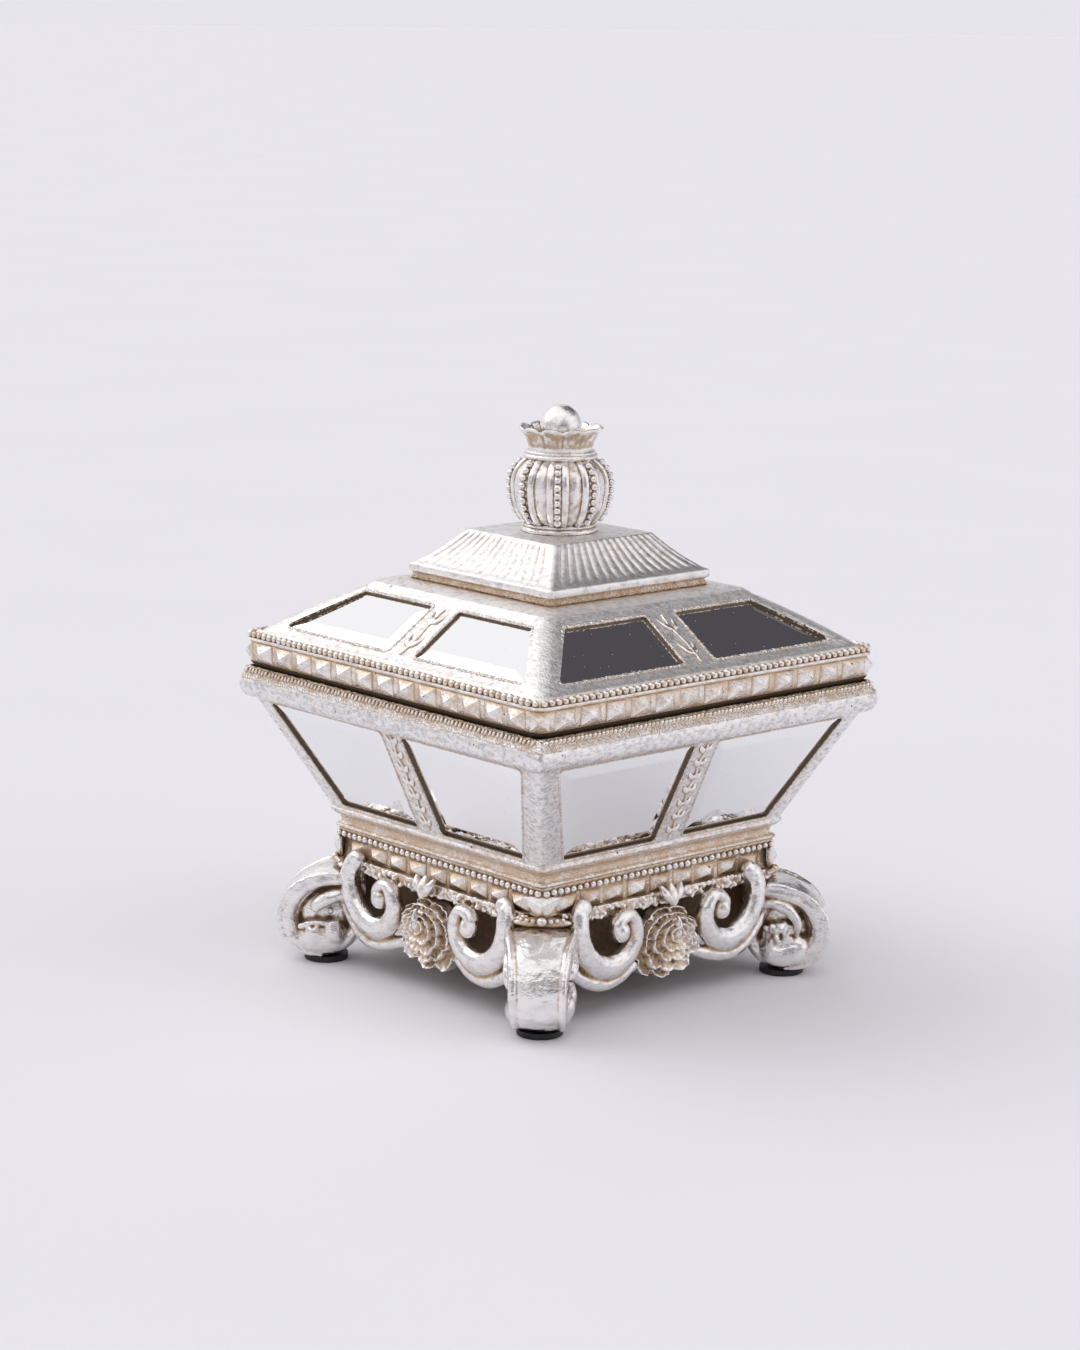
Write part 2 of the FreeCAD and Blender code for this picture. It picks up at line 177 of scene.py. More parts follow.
def lathe(profile, segments, shape=None):
    """Closed turned body from a (radius, height) loop that starts and ends on the axis.
    shape(angle, index, radius, height) may return a changed radius and height."""
    rings = profile[1:-1]
    points = [(0, 0, profile[0][1])]
    for index, (radius, height) in enumerate(rings):
        for step in range(segments):
            angle = 2 * math.pi * step / segments
            r, z = shape(angle, index, radius, height) if shape else (radius, height)
            points.append((r * math.cos(angle), r * math.sin(angle), z))
    points.append((0, 0, profile[-1][1]))
    last = len(points) - 1
    body = grid_faces(len(rings), segments, close_columns=True)
    faces = [tuple(index + 1 for index in face) for face in body]
    start = 1 + (len(rings) - 1) * segments
    for step in range(segments):
        following = (step + 1) % segments
        faces.append((0, 1 + following, 1 + step))
        faces.append((last, start + step, start + following))
    return np.array(points), faces


def box_between(low, high):
    x0, y0, z0 = low
    x1, y1, z1 = high
    points = [(x0, y0, z0), (x1, y0, z0), (x1, y1, z0), (x0, y1, z0),
              (x0, y0, z1), (x1, y0, z1), (x1, y1, z1), (x0, y1, z1)]
    return np.array(points, float), [(3, 2, 1, 0), (4, 5, 6, 7), (0, 1, 5, 4), (1, 2, 6, 5),
                                     (2, 3, 7, 6), (3, 0, 4, 7)]


def square_sweep(profile, corner, along, corner_steps, relief=None, closed=True):
    """A (half, height) loop run round a square plan with rounded corners.
    relief(path, span, half, row) gives how far a point moves outwards in plan, in millimetres;
    path is its distance from the corner before it and span the length of one side's path."""
    rows = len(profile)
    half_reference = max(half for half, height in profile)
    straight = 2 * (half_reference - corner)
    arc = corner * math.pi / 2
    span = straight + arc
    stations = []
    for index in range(corner_steps):
        angle = math.pi / 4 * (index / corner_steps)
        stations.append((corner * angle, -1.0, angle - math.pi / 4))
    for index in range(along + 1):
        share = index / along
        stations.append((arc / 2 + straight * share, -1.0 + 2 * share, 0.0))
    for index in range(1, corner_steps):
        angle = math.pi / 4 * (index / corner_steps)
        stations.append((arc / 2 + straight + corner * angle, 1.0, angle))
    points = []
    for row, (half, height) in enumerate(profile):
        for turn in SIDES.values():
            for path, share, angle in stations:
                push = relief(path, span, half, row) if relief else 0.0
                reach = corner + push
                x = share * (half - corner) + reach * math.sin(angle)
                y = -(half - corner) - reach * math.cos(angle)
                cosine, sine = math.cos(math.radians(turn)), math.sin(math.radians(turn))
                points.append((x * cosine - y * sine, x * sine + y * cosine, height))
    columns = 4 * len(stations)
    faces = grid_faces(rows, columns, close_rows=closed, close_columns=True)
    if not closed:
        faces = capped(faces, rows, columns)
    return np.array(points), faces


def linked(name, data):
    """A new object in the scene."""
    piece = bpy.data.objects.new(name, data)
    bpy.context.scene.collection.objects.link(piece)
    return piece


def modify(piece, name, kind, **settings):
    """Adds a modifier with its settings."""
    modifier = piece.modifiers.new(name, kind)
    for key, value in settings.items():
        setattr(modifier, key, value)


def new_object(name, part):
    points, faces = part
    mesh = bpy.data.meshes.new(name)
    mesh.from_pydata((points * MM).tolist(), [], faces)
    mesh.validate()
    piece = linked(name, mesh)
    mesh.shade_smooth()
    return piece


def applied(piece):
    """Applies a piece's modifiers to its mesh."""
    graph = bpy.context.evaluated_depsgraph_get()
    mesh = bpy.data.meshes.new_from_object(piece.evaluated_get(graph))
    old = piece.data
    piece.modifiers.clear()
    piece.data = mesh
    bpy.data.meshes.remove(old)
    mesh.name = piece.name
    mesh.shade_smooth()
    return piece


def spread(first, prefix, turns, body, material, node_prefix=None):
    """Puts a turned copy of a first piece in each named place, and drops the first piece."""
    for place, angle in turns.items():
        nodes = [node_prefix + place] if node_prefix else []
        finished(turned_copy(first, prefix + place, angle), body, material, nodes)
    bpy.data.objects.remove(first)


def fused(name, parts, voxel, smooth=3, keep=1.0):
    """Melts closed parts that overlap into one cast-looking skin."""
    piece = new_object(name, merged(parts))
    modify(piece, "remesh", "REMESH", mode="VOXEL", voxel_size=voxel * MM)
    modify(piece, "soften", "SMOOTH", factor=0.5, iterations=smooth)
    if keep < 1.0:
        modify(piece, "thin", "DECIMATE", ratio=keep)
    return applied(piece)


def hammered(piece, size, depth):
    """Moves a piece's skin in and out a little, as on a cast that was finished by hand."""
    mesh = piece.data
    normals = np.zeros(len(mesh.vertices) * 3)
    mesh.vertex_normals.foreach_get("vector", normals)
    for vertex, normal in zip(mesh.vertices, normals.reshape(-1, 3)):
        broad = noise.noise(vertex.co / (size * MM))
        fine = noise.noise(vertex.co / (size * MM / 2.3))
        amount = broad + 0.5 * fine
        vertex.co += Vector(normal) * amount * depth * MM
    mesh.update()
    return piece


def turned_copy(piece, name, degrees):
    """A separate piece with the same shape, turned about the box's axis."""
    mesh = piece.data.copy()
    mesh.name = name
    mesh.transform(Matrix.Rotation(math.radians(degrees), 4, "Z"))
    return linked(name, mesh)


def cut(piece, tool_part, round_width, surface, walls):
    """Cuts a part out of a piece, gives the cut walls their own material and rounds the edges."""
    tool = new_object("tool", tool_part)
    piece.data.materials.append(surface)
    tool.data.materials.append(walls)
    modify(piece, "cut", "BOOLEAN", operation="DIFFERENCE", solver="EXACT",
           material_mode="TRANSFER", object=tool)
    modify(piece, "round", "BEVEL", width=round_width * MM, segments=3, limit_method="ANGLE",
           angle_limit=math.radians(25))
    applied(piece)
    bpy.data.objects.remove(tool)
    return piece


def dress(piece, material):
    piece.data.materials.clear()
    piece.data.materials.append(material)


def finished(piece, body, material=None, nodes=()):
    """Gives a piece its body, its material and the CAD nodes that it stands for."""
    if material:
        dress(piece, material)
    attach(piece, body)
    if nodes:
        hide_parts(*nodes)
    return piece


def smooth_by_angle(piece, degrees=50):
    """Keeps flat faces flat and shades only gentle bends smooth."""
    piece.data.set_sharp_from_angle(angle=math.radians(degrees))
    return piece


def shade_hollows(piece, passes):
    """Stores, in millimetres, how hollow (+) or raised (-) the skin is, for the patina."""
    mesh = piece.data
    count = len(mesh.vertices)
    points = np.empty(count * 3)
    mesh.vertices.foreach_get("co", points)
    points = points.reshape(-1, 3)
    normals = np.empty(count * 3)
    mesh.vertex_normals.foreach_get("vector", normals)
    edges = np.empty(len(mesh.edges) * 2, np.int32)
    mesh.edges.foreach_get("vertices", edges)
    edges = edges.reshape(-1, 2)
    degree = np.maximum(np.bincount(edges.ravel(), minlength=count), 1)
    softened = points.copy()
    for _ in range(passes):
        total = np.zeros_like(softened)
        for axis in range(3):
            total[:, axis] += np.bincount(edges[:, 0], softened[edges[:, 1], axis], count)
            total[:, axis] += np.bincount(edges[:, 1], softened[edges[:, 0], axis], count)
        softened = 0.5 * softened + 0.5 * total / degree[:, None]
    hollow = ((softened - points) * normals.reshape(-1, 3)).sum(axis=1) / MM
    mesh.attributes.new("hollow", "FLOAT", "POINT").data.foreach_set("value", hollow)
    return piece


# ---- materials ----------------------------------------------------------------------------
class Shader:
    """A material with a Principled BSDF, and short ways to add the nodes that feed it."""

    def __init__(self, name):
        self.material = bpy.data.materials.new(name)
        self.material.use_nodes = True
        self.tree = self.material.node_tree
        self.surface = self.tree.nodes["Principled BSDF"]
        self.coordinates = self.add("ShaderNodeTexCoord").outputs["Object"]

    def add(self, kind, inputs=None, **settings):
        node = self.tree.nodes.new(kind)
        for key, value in settings.items():
            setattr(node, key, value)
        for key, value in (inputs or {}).items():
            if isinstance(value, bpy.types.NodeSocket):
                self.tree.links.new(value, node.inputs[key])
            else:
                node.inputs[key].default_value = value
        return node

    def noise(self, feature, detail=3.0, roughness=0.55, stretch=(1, 1, 1)):
        """Noise from 0 to 1 whose features are this many millimetres wide."""
        place = self.add("ShaderNodeMapping", {"Vector": self.coordinates, "Scale": stretch})
        inputs = {"Vector": place.outputs[0], "Scale": 1 / (feature * MM), "Detail": detail,
                  "Roughness": roughness}
        return self.add("ShaderNodeTexNoise", inputs).outputs[0]

    def specks(self, spacing, radius):
        """1 inside small random dots, 0 between them."""
        inputs = {"Vector": self.coordinates, "Scale": 1 / (spacing * MM), "Randomness": 1.0}
        cell = self.add("ShaderNodeTexVoronoi", inputs)
        return self.ramp(cell.outputs["Distance"], radius, radius * 0.6)

    def ramp(self, value, start, end):
        """0 at start and 1 at end, smoothly."""
        inputs = {"Value": value, "From Min": start, "From Max": end}
        node = self.add("ShaderNodeMapRange", inputs, interpolation_type="SMOOTHSTEP")
        return node.outputs[0]

    def math(self, operation, first, second=0.0):
        return self.add("ShaderNodeMath", {0: first, 1: second}, operation=operation).outputs[0]

    def mixed(self, share, first, second):
        inputs = {0: share, 6: first, 7: second}
        return self.add("ShaderNodeMix", inputs, data_type="RGBA").outputs[2]

    def blended(self, share, first, second):
        inputs = {0: share, 2: first, 3: second}
        return self.add("ShaderNodeMix", inputs, data_type="FLOAT").outputs[0]

    def bump(self, height, depth, before=None):
        """Bump of this many millimetres."""
        inputs = {"Height": height, "Distance": depth * MM, "Strength": 1.0}
        if before:
            inputs["Normal"] = before
        return self.add("ShaderNodeBump", inputs).outputs[0]

    def feed(self, **inputs):
        for key, value in inputs.items():
            socket = self.surface.inputs[key.replace("_", " ")]
            if isinstance(value, bpy.types.NodeSocket):
                self.tree.links.new(value, socket)
            else:
                socket.default_value = value
        return self.material


def silver_leaf(name, tan, wrinkle=1.0, roughness=0.3, pits=0.0, grain=0.0, feature=2.4,
                ground=(0.68, 0.515, 0.36), tarnish=0.0):
    """Silver leaf rubbed over a champagne ground, with brown patina left in the hollows.
    tan is the share of ground that shows on open surfaces, from 0 to 1; feature is the size
    of the dents and patches in the leaf, in millimetres; tarnish greys it in patches."""
    silver = (0.94, 0.91, 0.89, 1)
    grey = 1 - 0.25 * tarnish
    cool = (0.62 * grey, 0.60 * grey, 0.61 * grey, 1)
    umber = (0.13, 0.075, 0.035, 1)
    shader = Shader(name)
    reach = shader.add("ShaderNodeAmbientOcclusion", {"Distance": 3.2 * MM}, samples=6)
    closed = shader.math("SUBTRACT", 1.0, reach.outputs["AO"])
    hollow = shader.add("ShaderNodeAttribute", attribute_name="hollow").outputs["Fac"]
    patch = shader.noise(5.0, 4.0, 0.62)
    fine = shader.noise(0.9, 3.0, 0.6)
    leaf = shader.noise(feature, 4.0, 0.6, (1.0, 1.0, 1.7))
    # how much ground shows: in hollows, in random patches, and in rubbed specks
    depth = shader.math("ADD", shader.math("MULTIPLY", closed, 0.9),
                        shader.math("MULTIPLY", hollow, 3.0))
    spread = shader.math("ADD", depth, shader.math("MULTIPLY", patch, 0.75))
    spread = shader.math("ADD", spread, shader.math("MULTIPLY", fine, 0.35))
    bare = shader.ramp(spread, 0.92 - 0.64 * tan, 1.14 - 0.56 * tan)
    deep = shader.ramp(shader.math("ADD", depth, shader.math("MULTIPLY", fine, 0.3)), 0.58, 0.98)
    dulled = shader.ramp(leaf, 0.42 - 0.1 * tarnish, 0.85 - 0.2 * tarnish)
    metal = shader.mixed(dulled, silver, cool)
    colour = shader.mixed(bare, metal, (*ground, 1))
    colour = shader.mixed(deep, colour, umber)
    metallic = shader.blended(bare, 1.0, 0.75)
    metallic = shader.blended(deep, metallic, 0.1)
    rough = shader.blended(shader.ramp(fine, 0.3, 0.8), roughness, roughness + 0.16)
    rough = shader.blended(bare, rough, 0.38)
    rough = shader.blended(deep, rough, 0.7)
    surface = shader.bump(leaf, 0.1 * feature * wrinkle)
    surface = shader.bump(fine, 0.07 + 0.25 * grain, surface)
    if grain:
        crumbs = shader.add("ShaderNodeTexVoronoi", {"Vector": shader.coordinates,
                                                     "Scale": 1 / (0.8 * MM)})
        surface = shader.bump(crumbs.outputs["Distance"], -0.5 * grain, surface)
    if pits:
        holes = shader.specks(5.5, 0.06 + 0.06 * pits)
        colour = shader.mixed(holes, colour, umber)
        metallic = shader.blended(holes, metallic, 0.0)
        surface = shader.bump(shader.math("SUBTRACT", 1.0, holes), 0.2, surface)
    return shader.feed(Base_Color=colour, Metallic=metallic, Roughness=rough, Normal=surface)


def painted_brown_shade(name, strength):
    """Dark brown that paints the shade in the gaps and under the box."""
    shader = Shader(name)
    dark = (0.022 * strength, 0.014 * strength, 0.008 * strength, 1)
    light = (0.10 * strength, 0.062 * strength, 0.032 * strength, 1)
    colour = shader.mixed(shader.noise(1.6, 4.0, 0.6), dark, light)
    return shader.feed(Base_Color=colour, Metallic=0.2, Roughness=0.65,
                       Normal=shader.bump(shader.noise(0.8), 0.1))


def mirror_glass():
    shader = Shader("mirror_glass")
    dust = shader.specks(2.6, 0.085)
    film = shader.ramp(shader.noise(14.0, 4.0, 0.6), 0.45, 0.85)
    colour = shader.mixed(dust, (0.97, 0.97, 0.98, 1), (0.85, 0.84, 0.86, 1))
    rough = shader.blended(film, 0.012, 0.045)
    rough = shader.blended(dust, rough, 0.55)
    return shader.feed(Base_Color=colour, Metallic=1.0, Roughness=rough)


def felt(name, light, dark):
    shader = Shader(name)
    fibre = shader.noise(0.35, 4.0, 0.7)
    cloud = shader.noise(9.0, 3.0)
    share = shader.math("ADD", shader.math("MULTIPLY", fibre, 0.7),
                        shader.math("MULTIPLY", cloud, 0.5))
    colour = shader.mixed(shader.ramp(share, 0.35, 0.85), dark, light)
    shader.feed(Sheen_Weight=0.35, Sheen_Roughness=0.4)
    return shader.feed(Base_Color=colour, Roughness=0.95, Normal=shader.bump(fibre, 0.25))


def rubber():
    shader = Shader("pad_rubber")
    grain = shader.noise(0.5, 3.0, 0.6)
    colour = shader.mixed(shader.noise(4.0), (0.006, 0.006, 0.006, 1), (0.02, 0.019, 0.018, 1))
    rough = shader.blended(grain, 0.45, 0.7)
    return shader.feed(Base_Color=colour, Roughness=rough, Normal=shader.bump(grain, 0.05))


def steel():
    shader = Shader("plain_steel")
    scratch = shader.noise(0.6, 4.0, 0.6, (6.0, 6.0, 0.6))
    colour = shader.mixed(scratch, (0.42, 0.42, 0.43, 1), (0.66, 0.66, 0.67, 1))
    rough = shader.blended(scratch, 0.25, 0.42)
    return shader.feed(Base_Color=colour, Metallic=1.0, Roughness=rough,
                       Normal=shader.bump(scratch, 0.03))


smooth_leaf = silver_leaf("silver_leaf_smooth", tan=0.3, wrinkle=0.8, roughness=0.22)
frame_leaf = silver_leaf("silver_leaf_frame", tan=0.45, wrinkle=0.9, roughness=0.24, pits=0.25,
                         feature=1.8, tarnish=0.5)
carved_leaf = silver_leaf("silver_leaf_carved", tan=0.6, wrinkle=0.6, roughness=0.15)
foot_leaf = silver_leaf("silver_leaf_foot", tan=0.28, wrinkle=1.3, roughness=0.1, feature=5.5)
stud_leaf = silver_leaf("champagne_studs", tan=0.68, wrinkle=0.6, roughness=0.2, pits=0.4,
                        grain=0.15)
gold_leaf = silver_leaf("champagne_mouldings", tan=0.7, wrinkle=0.7, roughness=0.2, grain=0.5)
bead_leaf = silver_leaf("silver_beads", tan=0.15, wrinkle=0.3, roughness=0.14)
edge_leaf = silver_leaf("crumbled_edging", tan=0.6, wrinkle=0.6, roughness=0.18, grain=1.0)
bulb_leaf = silver_leaf("champagne_bulb", tan=0.98, wrinkle=0.9, roughness=0.22, feature=3.5,
                        ground=(0.55, 0.41, 0.29))
egg_leaf = silver_leaf("silver_leaf_egg", tan=0.75, wrinkle=0.4, roughness=0.2)
tier_leaf = silver_leaf("silver_leaf_flutes", tan=0.34, wrinkle=0.6, roughness=0.34, tarnish=0.25)
# painted shade: the window walls are all dark brown ground, for the shade in the gap round the
# panes
rebate_painted_shade = silver_leaf("rebate_painted_shade", tan=1.0, roughness=0.25, ground=(0.13, 0.095, 0.065))
lid_leaf = silver_leaf("silver_leaf_lid", tan=0.4, roughness=0.38, pits=0.2, grain=0.12,
                       tarnish=0.2)
cup_leaf = silver_leaf("champagne_cup", tan=0.8, wrinkle=0.9, roughness=0.22, feature=3.5,
                       ground=(0.58, 0.44, 0.31))
blossom_leaf = silver_leaf("champagne_blossom", tan=0.56, wrinkle=0.5, roughness=0.18)
# painted shade: dark brown for the shade in the gap under the lid's studs
painted_gap_shade = painted_brown_shade("painted_brown_shade", 1.0)
# brown of the sunk bottom, also painted shade under the box and behind the scroll holes
brown_and_painted_shade = painted_brown_shade("brown_and_painted_shade", 3.2)
glass = mirror_glass()
lining_felt = felt("lining_felt", (0.33, 0.28, 0.235, 1), (0.15, 0.125, 0.105, 1))


# ---- faces and panes ----------------------------------------------------------------------
class Pane:
    """Plane and outline of one mirror pane, read from its CAD node."""

    def __init__(self, node):
        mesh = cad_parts[node].data
        points = np.array([vertex.co for vertex in mesh.vertices]) / MM
        mesh.calc_loop_triangles()
        largest = max(mesh.loop_triangles, key=lambda triangle: triangle.area)
        normal = np.array(largest.normal)
        middle = points.mean(axis=0)
        if normal[:2] @ middle[:2] < 0:
            normal = -normal
        depths = points @ normal
        self.normal = normal
        self.front = depths.max()
        self.thickness = depths.max() - depths.min()
        rim = np.unique(points[depths < depths.min() + 0.01].round(3), axis=0)
        self.across = np.cross((0, 0, 1), normal)
        self.across /= np.linalg.norm(self.across)
        self.up = np.cross(normal, self.across)
        self.origin = rim.mean(axis=0) + normal * self.thickness
        flat = [((point - self.origin) @ self.across, (point - self.origin) @ self.up)
                for point in rim]
        self.corners = sorted(flat, key=lambda corner: math.atan2(corner[1], corner[0]))

    def outline(self, outset, rounding, bottom=0.0, steps=5):
        """The pane's outline moved outwards, and further at the bottom, with rounded corners."""
        lines = []
        for (u0, v0), (u1, v1) in zip(self.corners, self.corners[1:] + self.corners[:1]):
            length = math.hypot(u1 - u0, v1 - v0)
            a, b = (v1 - v0) / length, (u0 - u1) / length
            further = 0.0 if lines else bottom
            lines.append((a, b, a * u0 + b * v0 + outset + further - rounding))
        points = []
        for before, after in zip(lines, lines[1:] + lines[:1]):
            scale = before[0] * after[1] - after[0] * before[1]
            u = (before[2] * after[1] - after[2] * before[1]) / scale
            v = (before[0] * after[2] - after[0] * before[2]) / scale
            start = math.atan2(before[1], before[0])
            sweep = (math.atan2(after[1], after[0]) - start) % (2 * math.pi)
            for step in range(steps + 1):
                angle = start + sweep * step / steps
                points.append((u + rounding * math.cos(angle), v + rounding * math.sin(angle)))
        return points

    def place(self, flat, out):
        return np.array([self.origin + self.across * u + self.up * v + self.normal * out
                         for u, v in flat])

    def window(self, outset, rounding, bottom, depth, reach):
        """Prism through the pane's opening, from depth behind its front to reach before it."""
        flat = self.outline(outset, rounding, bottom)
        count = len(flat)
        points = np.vstack([self.place(flat, -depth), self.place(flat, reach)])
        faces = [tuple(range(count))[::-1], tuple(range(count, 2 * count))]
        faces += [(index, (index + 1) % count, count + (index + 1) % count, count + index)
                  for index in range(count)]
        return points, faces

    def edging(self, outset, bottom, out, width, height, jitter):
        """Thin crumbly line of cast metal along the opening."""
        flat = self.outline(outset, outset + 1.2, bottom, steps=4)
        corners = self.place(flat, out)
        path = []
        for start, end in zip(corners, np.vstack([corners[1:], corners[:1]])):
            count = max(1, int(np.linalg.norm(end - start) / 0.6))
            path += [start + (end - start) * index / count for index in range(count)]
        path = np.array(path)
        sizes = np.array([1 + jitter * chance.uniform(-1, 1) for _ in path])
        ahead, behind = np.roll(path, -1, axis=0), np.roll(path, 1, axis=0)
        tangent = unit(ahead - behind)
        side = np.cross(tangent, self.normal)
        sides = 8
        points = []
        for spot, out_side, size in zip(path, side, sizes):
            for step in range(sides):
                angle = 2 * math.pi * step / sides
                points.append(spot + out_side * width * size * math.cos(angle)
                              + self.normal * height * size * math.sin(angle))
        faces = grid_faces(len(path), sides, close_rows=True, close_columns=True)
        return np.array(points), faces


class Side:
    """The plane of the front side's panes; point() takes across, height and distance out."""

    def __init__(self, pane):
        self.pane = pane
        self.normal = pane.normal

    def point(self, across, height, out=0.0):
        y = (self.pane.front + out - self.normal[2] * height) / self.normal[1]
        return np.array((across, y, height))

    def half(self, height):
        return -self.point(0, height)[1]


body_panes = [Pane("body_mirror_" + place) for place in PANE_PLACES]
lid_panes = [Pane("lid_mirror_" + place) for place in PANE_PLACES]
body_side = Side(body_panes[1])
lid_side = Side(lid_panes[1])
body_proud = 0.35            # frame bars stand this far out from the panes
lid_proud = 0.1
wall_depth = 4.5             # from the panes' front to the inside of the casting


# ---- body shell ---------------------------------------------------------------------------
body_bottom_gap = 0.6        # the openings reach this much further under the panes
mouth_bottom = 89.6          # the straight mouth starts here, over the tapered walls
slope_top = 88.9


def body_outer(height):
    return body_side.half(height) + body_proud / -body_side.normal[1]


def body_inner(height):
    return body_side.half(height) - wall_depth / -body_side.normal[1]


def body_shell():
    """Tapered casting with a sill, a rolled rim and openings for the panes."""
    top, sill = seat_height, plinth_top + 6.0
    mouth = body_inner(mouth_bottom)
    outside = [(plinth_half - 1.2, sill - 1.6), (plinth_half + 0.8, sill - 1.4),
               (plinth_half + 1.9, sill - 0.9), (plinth_half + 2.4, sill - 0.3),
               (plinth_half + 2.4, sill + 0.3), (plinth_half + 2.1, sill + 0.7)]
    slope = [(body_outer(height), height) for height in np.linspace(sill + 1.1, slope_top, 13)]
    rim = [
        (rim_half - 2.3, top - 7.9), (rim_half - 1.2, top - 7.2), (rim_half - 0.4, top - 6.0),
        (rim_half, top - 4.5), (rim_half, top - 3.0), (rim_half - 0.5, top - 1.5),
        (rim_half - 1.0, top - 1.1), (rim_half - 1.5, top - 1.3), (rim_half - 2.3, top - 1.2),
        (rim_half - 3.1, top - 0.8), (rim_half - 4.0, top - 0.5), (rim_half - 4.9, top),
        (mouth + 0.5, top), (mouth, top - 0.5)]
    inside = [(mouth, mouth_bottom), (body_inner(plinth_top), plinth_top)]
    shell = new_object("body_shell", square_sweep(outside + slope + rim + inside, 2.8, 30, 6))
    windows = [pane.window(-0.15, 0.8, body_bottom_gap, pane.thickness, 12) for pane in body_panes]
    cut(shell, merged(windows), 0.2, frame_leaf, rebate_painted_shade)
    smooth_by_angle(shell)
    return finished(shell, "box", nodes=["body_frame"])


def rope_band():
    """Steep crumbly band up from the rim to just under the lid's studs."""
    low = seat_height - 1.7
    profile = [
        (rim_half - 4.0, low), (rim_half - 0.5, low), (rim_half - 0.4, low + 0.7),
        (rim_half - 0.9, low + 1.2), (rim_half - 1.2, low + 2.4), (rim_half - 1.9, low + 3.6),
        (rim_half - 2.5, low + 4.1), (rim_half - 3.0, low + 3.9), (rim_half - 3.1, low + 3.0)]
    band = new_object("rim_band", square_sweep(profile, 2.6, 200, 7))
    finished(hammered(band, 1.1, 0.22), "box", edge_leaf)
    grain = ball((0, 0, 0), (0.72, 0.85, 1.4), 6, 8)
    tilt = Matrix.Rotation(math.radians(28), 3, "X") @ Matrix.Rotation(math.radians(38), 3, "Y")
    half, pitch = rim_half - 1.5, 1.75
    count = int(2 * (half - 1) / pitch)
    grains = []
    for turn in SIDES.values():
        for index in range(count):
            across = (index - (count - 1) / 2) * pitch + chance.uniform(-0.2, 0.2)
            spot = (across, -half, low + 2.7 + chance.uniform(-0.15, 0.15))
            grains.append(moved(moved(moved(grain, matrix=tilt), spot), turn=turn))
    return finished(new_object("rim_rope", merged(grains)), "box", carved_leaf)


def bead_row(half, height, count, radius, corner):
    """Beads round all four sides, about count of them per side, on rounded corners."""
    straight = 2 * (half - corner)
    span = straight + corner * math.pi / 2
    beads = []
    for turn in SIDES.values():
        for index in range(count):
            path = span * (index + 0.5) / count - corner * math.pi / 4
            if path < 0:
                angle, x = path / corner, -half + corner
            elif path > straight:
                angle, x = (path - straight) / corner, half - corner
            else:
                angle, x = 0.0, -half + corner + path
            spot = (x + corner * math.sin(angle), -half + corner * (1 - math.cos(angle)),
                    height + chance.uniform(-0.1, 0.1))
            bead = ball(spot, radius * chance.uniform(0.86, 1.08), 7, 10)
            beads.append(moved(bead, turn=turn))
    return merged(beads)


def stud(width, height, proud, corner=0.35):
    """Blunt four-sided pyramid on its back in the XZ plane, pointing to -Y."""
    def ring(scale_x, scale_z, y):
        x, z = width / 2 * scale_x, height / 2 * scale_z
        return [(-x, y, -z), (x, y, -z), (x, y, z), (-x, y, z)]
    blunt = corner / width * 2
    points = (ring(1, 1, 1.0) + ring(1, 1, 0) + ring(0.93, 0.9, -0.25)
              + ring(blunt, blunt, -proud))
    faces = [(0, 1, 2, 3)]
    for level in range(3):
        start = 4 * level
        for index in range(4):
            following = (index + 1) % 4
            faces.append((start + index, start + 4 + index, start + 4 + following,
                          start + following))
    faces.append((15, 14, 13, 12))
    return np.array(points, float), faces


def stud_row(half, height, pitches, width, tall, proud, round_corner):
    """Studs along all four sides, leaving the corners free."""
    pitch = 2 * half / pitches
    studs = []
    for turn in SIDES.values():
        for index in range(1, pitches):
            across = -half + pitch * index
            if abs(across) > half - round_corner - 1:
                continue
            shape, faces = stud(width + chance.uniform(-0.25, 0.25),
                                tall + chance.uniform(-0.15, 0.15), proud)
            skew = np.array([(chance.uniform(-0.12, 0.12), chance.uniform(-0.2, 0.2),
                              chance.uniform(-0.12, 0.12)) for _ in range(4)])
            shape[12:] += (chance.uniform(-0.4, 0.4), 0, chance.uniform(-0.25, 0.25))
            shape[8:12] += skew
            studs.append(moved(moved((shape, faces), (across, -half, height)), turn=turn))
    return studs


def corner_stud(half, height, width, tall, proud, drop=0.0):
    """Faceted stud across the front-left corner. drop narrows it to a low point."""
    shape, faces = stud(width, tall, proud, 0.5)
    if drop:
        lower = shape[:, 2] < -tall / 4
        shape[lower, 2] -= drop
        shape[lower, 0] *= 0.22
    diagonal = half * math.sqrt(2)
    return moved(moved((shape, faces), (0, -diagonal, height)), turn=-45)


def roughened(piece, width):
    """Rounds a faceted piece's edges a little, as a mould and its leaf do."""
    modify(piece, "worn", "BEVEL", width=width * MM, segments=2, limit_method="ANGLE",
           angle_limit=math.radians(12))
    return smooth_by_angle(applied(piece), 28)


body_shell()
rope_band()
edging = merged([pane.edging(0.25, body_bottom_gap, body_proud - 0.15, 0.45, 0.4, 0.2)
                 for pane in body_panes])
finished(new_object("body_window_edging", edging), "box", edge_leaf)


# ---- base ---------------------------------------------------------------------------------
stud_band = (36.4, 42.1)
base_bead_height = 43.6


def base_moulding():
    """Cove and thin ridge between the beads and the sill."""
    low, half = plinth_top, plinth_half
    profile = [
        (half - 1.5, low - 0.4), (half + 0.3, low - 0.3), (half + 0.9, low),
        (half + 1.0, low + 0.5),
        (half + 0.6, low + 0.9), (half - 0.1, low + 1.2), (half - 0.4, low + 1.9),
        (half - 0.3, low + 2.9), (half + 0.1, low + 3.7), (half + 0.8, low + 4.2),
        (half + 1.3, low + 4.6), (half + 1.2, low + 5.0), (half - 1.5, low + 5.0)]
    piece = new_object("base_moulding", square_sweep(profile, 2.6, 90, 6))
    hammered(piece, 1.6, 0.07)
    return finished(smooth_by_angle(piece, 60), "box", gold_leaf)


